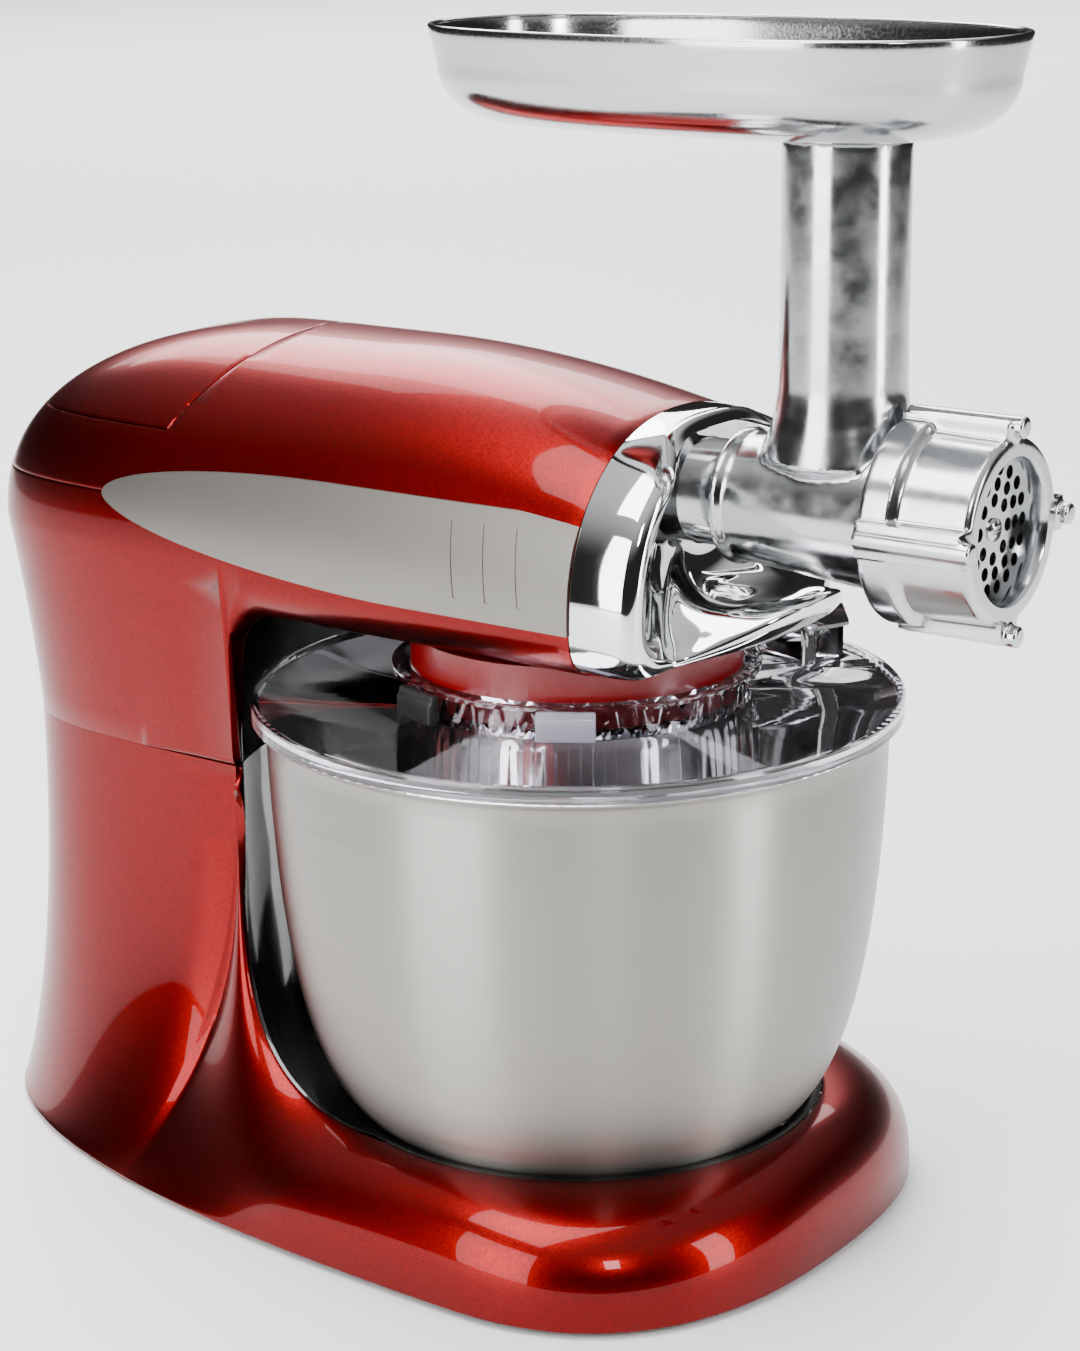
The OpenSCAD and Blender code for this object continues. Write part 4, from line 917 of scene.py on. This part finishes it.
def makePaintedShadeLiner():
    # painted shade: this black gloss sheet covers the recess and the column's inner face, which are the body's red
    # lying in shade
    c, climb, levels = liner, [], liner["levels"]
    for k in range(1, c["climbSteps"]):
        x, y, z = edgePoint(1 + k / c["climbSteps"])
        climb.append((min(c["frontR"], hypot(x, y) - 1), z))
    corner = [(c["r"] - c["round"] * (1 - sin(radians(a))), c["floor"] + c["round"] * (1 - cos(radians(a))))
              for a in range(0, 91, 10)]
    inner = corner + [(c["r"], base["ridgeZ"] - 1), (base["ridgeR"] - 2, base["ridgeZ"])] + climb + \
        [(c["frontR"], c["top"])]
    outer = [(r + c["thick"], z - (c["thick"] if z < c["lowZ"] else 0)) for r, z in reversed(inner)]
    sheet = turned("bowlSurroundPaintedShade", [(0, c["floor"])] + inner + outer + [(0, c["floor"] - c["thick"])], 192)
    # only what lies inside the base's skin is kept
    rings = [baseRing(0.5 - 0.5 * cos(pi * k / levels), c["inset"]) for k in range(levels + 1)]
    body = skin("baseRoom", rings, True)
    count = len(rings[0])
    mesh = bmesh.new()
    mesh.from_mesh(body.data)
    mesh.verts.ensure_lookup_table()
    for start in (0, levels * count):
        for k in range(count // 2 - 1):
            mesh.faces.new([mesh.verts[start + i] for i in (k, k + 1, count - 2 - k, count - 1 - k)])
    mesh.to_mesh(body.data)
    mesh.free()
    merged(body, 0.00002)
    cut(sheet, body, "INTERSECT", "MANIFOLD")
    smooth(sheet, 40)
    standIn(sheet, "bowl_surround")


makePaintedShadeLiner()

bowl = {"footR": 60, "floor": 32.5, "rimR": 116.6, "rimZ": 193, "wall": 1, "bead": 2.35, "steps": 48,
        "thinSteps": 20}


def makeBowl():
    c, steps = bowl, bowl["steps"]
    side = ((c["footR"] + 8, c["floor"]), (c["footR"] + 42, c["floor"] + 3),
            (c["rimR"] - 2.4, c["floor"] + 58), (c["rimR"], c["rimZ"] - 4))
    outside = [(0, c["floor"])] + [tuple(bezier(side, k / steps)) for k in range(steps + 1)]
    bead = [(c["rimR"] + c["bead"] * cos(radians(a)), c["rimZ"] + c["bead"] * sin(radians(a)))
            for a in range(-70, 221, 15)]
    inside = [(max(0, r - c["wall"] * (0.35 + 0.65 * min(1, k / c["thinSteps"]))),
               z + c["wall"] * (1 - k / steps)) for k, (r, z) in enumerate(outside[1:])]
    piece = turned("bowl", outside + bead + list(reversed(inside)) + [(0, c["floor"] + c["wall"])], 256)
    smooth(piece, 50)
    standIn(piece, "bowl")


makeBowl()
print("liner and bowl made")

# ---- Spring clips on the splash guard's collar ----

clips = {"innerR": 69.5, "outerR": 73.9, "halfW": 10.6, "low": 199.8, "high": 211.2, "toe": 0.8, "step": 1.2,
         "stepLow": 3.4, "stepHigh": 2.2}


def makeClip(name, node, turn):
    c, low, high, outer = clips, clips["low"], clips["high"], clips["outerR"]
    outline = [(c["innerR"], low), (outer, low + c["toe"]), (outer, high - c["stepLow"]),
               (outer - c["step"], high - c["stepHigh"]), (outer - c["step"], high), (c["innerR"], high)]
    points = [(r, y, z) for y in (-c["halfW"], c["halfW"]) for r, z in outline]
    a = radians(turn)
    points = [(x * cos(a) - y * sin(a), x * sin(a) + y * cos(a) + axisY / mm, z) for x, y, z in points]
    piece = meshPiece(name, points, prismFaces(len(outline)))
    merged(piece)
    apply(piece, "BEVEL", width=0.0012, segments=4, limit_method="ANGLE", angle_limit=radians(40))
    smooth(piece, 60)
    standIn(piece, node)


makeClip("frontClip", "front_clip", 212)
makeClip("rearClip", "rear_clip", 162)
print("clips made")

# ---- CAD shapes that are seen as they are, with soft shading ----

for node in ("bowl_seat", "knob_bezel", "speed_knob", "release_button", "head_liner",
             "attachment_hub", "drive_skirt", "bowl_foot", "splash_lid",
             "chute_flap", "hole_plate", "auger", "knife", "planet_carrier", "tool_shaft"):
    words = node.split("_")
    copyOf(node, words[0] + "".join(word.capitalize() for word in words[1:]))
print("other pieces made")

# ---- Camera, floor and light ----

view = {"azimuth": -53.85, "elevation": 16.03, "roll": -0.64, "lens": 77.85,
        "place": (-0.8551, -0.6075, 0.5057)}


def makeCamera():
    a, e, r = radians(view["azimuth"]), radians(view["elevation"]), radians(view["roll"])
    back = Vector((sin(a) * cos(e), -cos(a) * cos(e), sin(e)))
    right = Vector((cos(a), sin(a), 0))
    up = back.cross(right)
    across = cos(r) * right + sin(r) * up
    upwards = -sin(r) * right + cos(r) * up
    data = bpy.data.cameras.new("camera")
    data.sensor_fit = "VERTICAL"
    data.sensor_height = 36
    data.lens = view["lens"]
    camera = bpy.data.objects.new("camera", data)
    bpy.context.scene.collection.objects.link(camera)
    camera.matrix_world = Matrix((across, upwards, back)).transposed().to_4x4()
    camera.location = Vector(view["place"]) + Vector((0, axisY, 0))
    bpy.context.scene.camera = camera


def areaLight(name, place, size, power, target=(0, 0, 0.2), tint=(1, 1, 1)):
    data = bpy.data.lights.new(name, "AREA")
    data.shape = "RECTANGLE"
    data.size, data.size_y = size
    data.energy = power
    data.color = tint
    lamp = bpy.data.objects.new(name, data)
    lamp.location = place
    lamp.rotation_euler = (Vector(target) - Vector(place)).to_track_quat("-Z", "Y").to_euler()
    bpy.context.scene.collection.objects.link(lamp)


studio = {"dark": 0.03, "bright": 1.0, "darkBelow": 0.3, "brightAbove": 0.95,
          "sweep": (4.6, 14), "sweepAhead": 5.2,
          "lamps": {"softboxLeft": ((-1.9, 0.35, 0.75), (1.1, 1.5), 46, (0, 0.05, 0.2)),
                    "stripFront": ((0.25, -1.95, 0.7), (0.4, 1.5), 26, (0, 0, 0.2)),
                    "windowNear": ((-1.35, -1.5, 1.5), (0.3, 0.5), 14, (0, 0, 0.1)),
                    "softboxTop": ((-0.5, 0.2, 1.9), (1.0, 1.5), 48, (0, 0.1, 0.25)),
                    "backTop": ((0.9, 1.4, 1.8), (1.4, 1.4), 30, (0.2, 0.4, 0)),
                    "backgroundWash": ((4.6, 3.6, 4.5), (7, 5), 900, (4.6, 3.6, 0))}}


def makeStudio():
    bpy.ops.object.select_all(action="DESELECT")
    # a long sheet of paper that runs back from the mixer as the camera sees it
    turn, ahead = radians(view["azimuth"]), studio["sweepAhead"]
    bpy.ops.mesh.primitive_plane_add(size=1, rotation=(0, 0, turn),
                                     location=(-sin(turn) * ahead, cos(turn) * ahead, -0.0002))
    floor = bpy.context.object
    floor.name = "studioFloor"
    floor.scale = (*studio["sweep"], 1)
    settle(floor)
    material, tree, shader = newMaterial("paleStudioFloor", Base_Color=linear("#f4f4f4"), Roughness=0.6)
    grain(tree, shader, 30.0, 0.02)
    floor.data.materials.append(material)
    world = bpy.data.worlds.new("studio")
    bpy.context.scene.world = world
    world.use_nodes = True
    tree = world.node_tree
    place = addNode(tree, "ShaderNodeTexCoord")
    split = addNode(tree, "ShaderNodeSeparateXYZ", Vector=place.outputs["Generated"])
    fade = {"From Min": studio["darkBelow"], "From Max": studio["brightAbove"], "To Min": studio["dark"],
            "To Max": studio["bright"], "interpolation_type": "SMOOTHSTEP"}
    ramp = addNode(tree, "ShaderNodeMapRange", fade, Value=split.outputs[2])
    tree.links.new(ramp.outputs[0], tree.nodes["Background"].inputs[1])
    tree.nodes["Background"].inputs[0].default_value = (1, 1, 1, 1)
    for name, (place, size, power, target) in studio["lamps"].items():
        areaLight(name, place, size, power, target)


makeCamera()
makeStudio()
print("studio made")
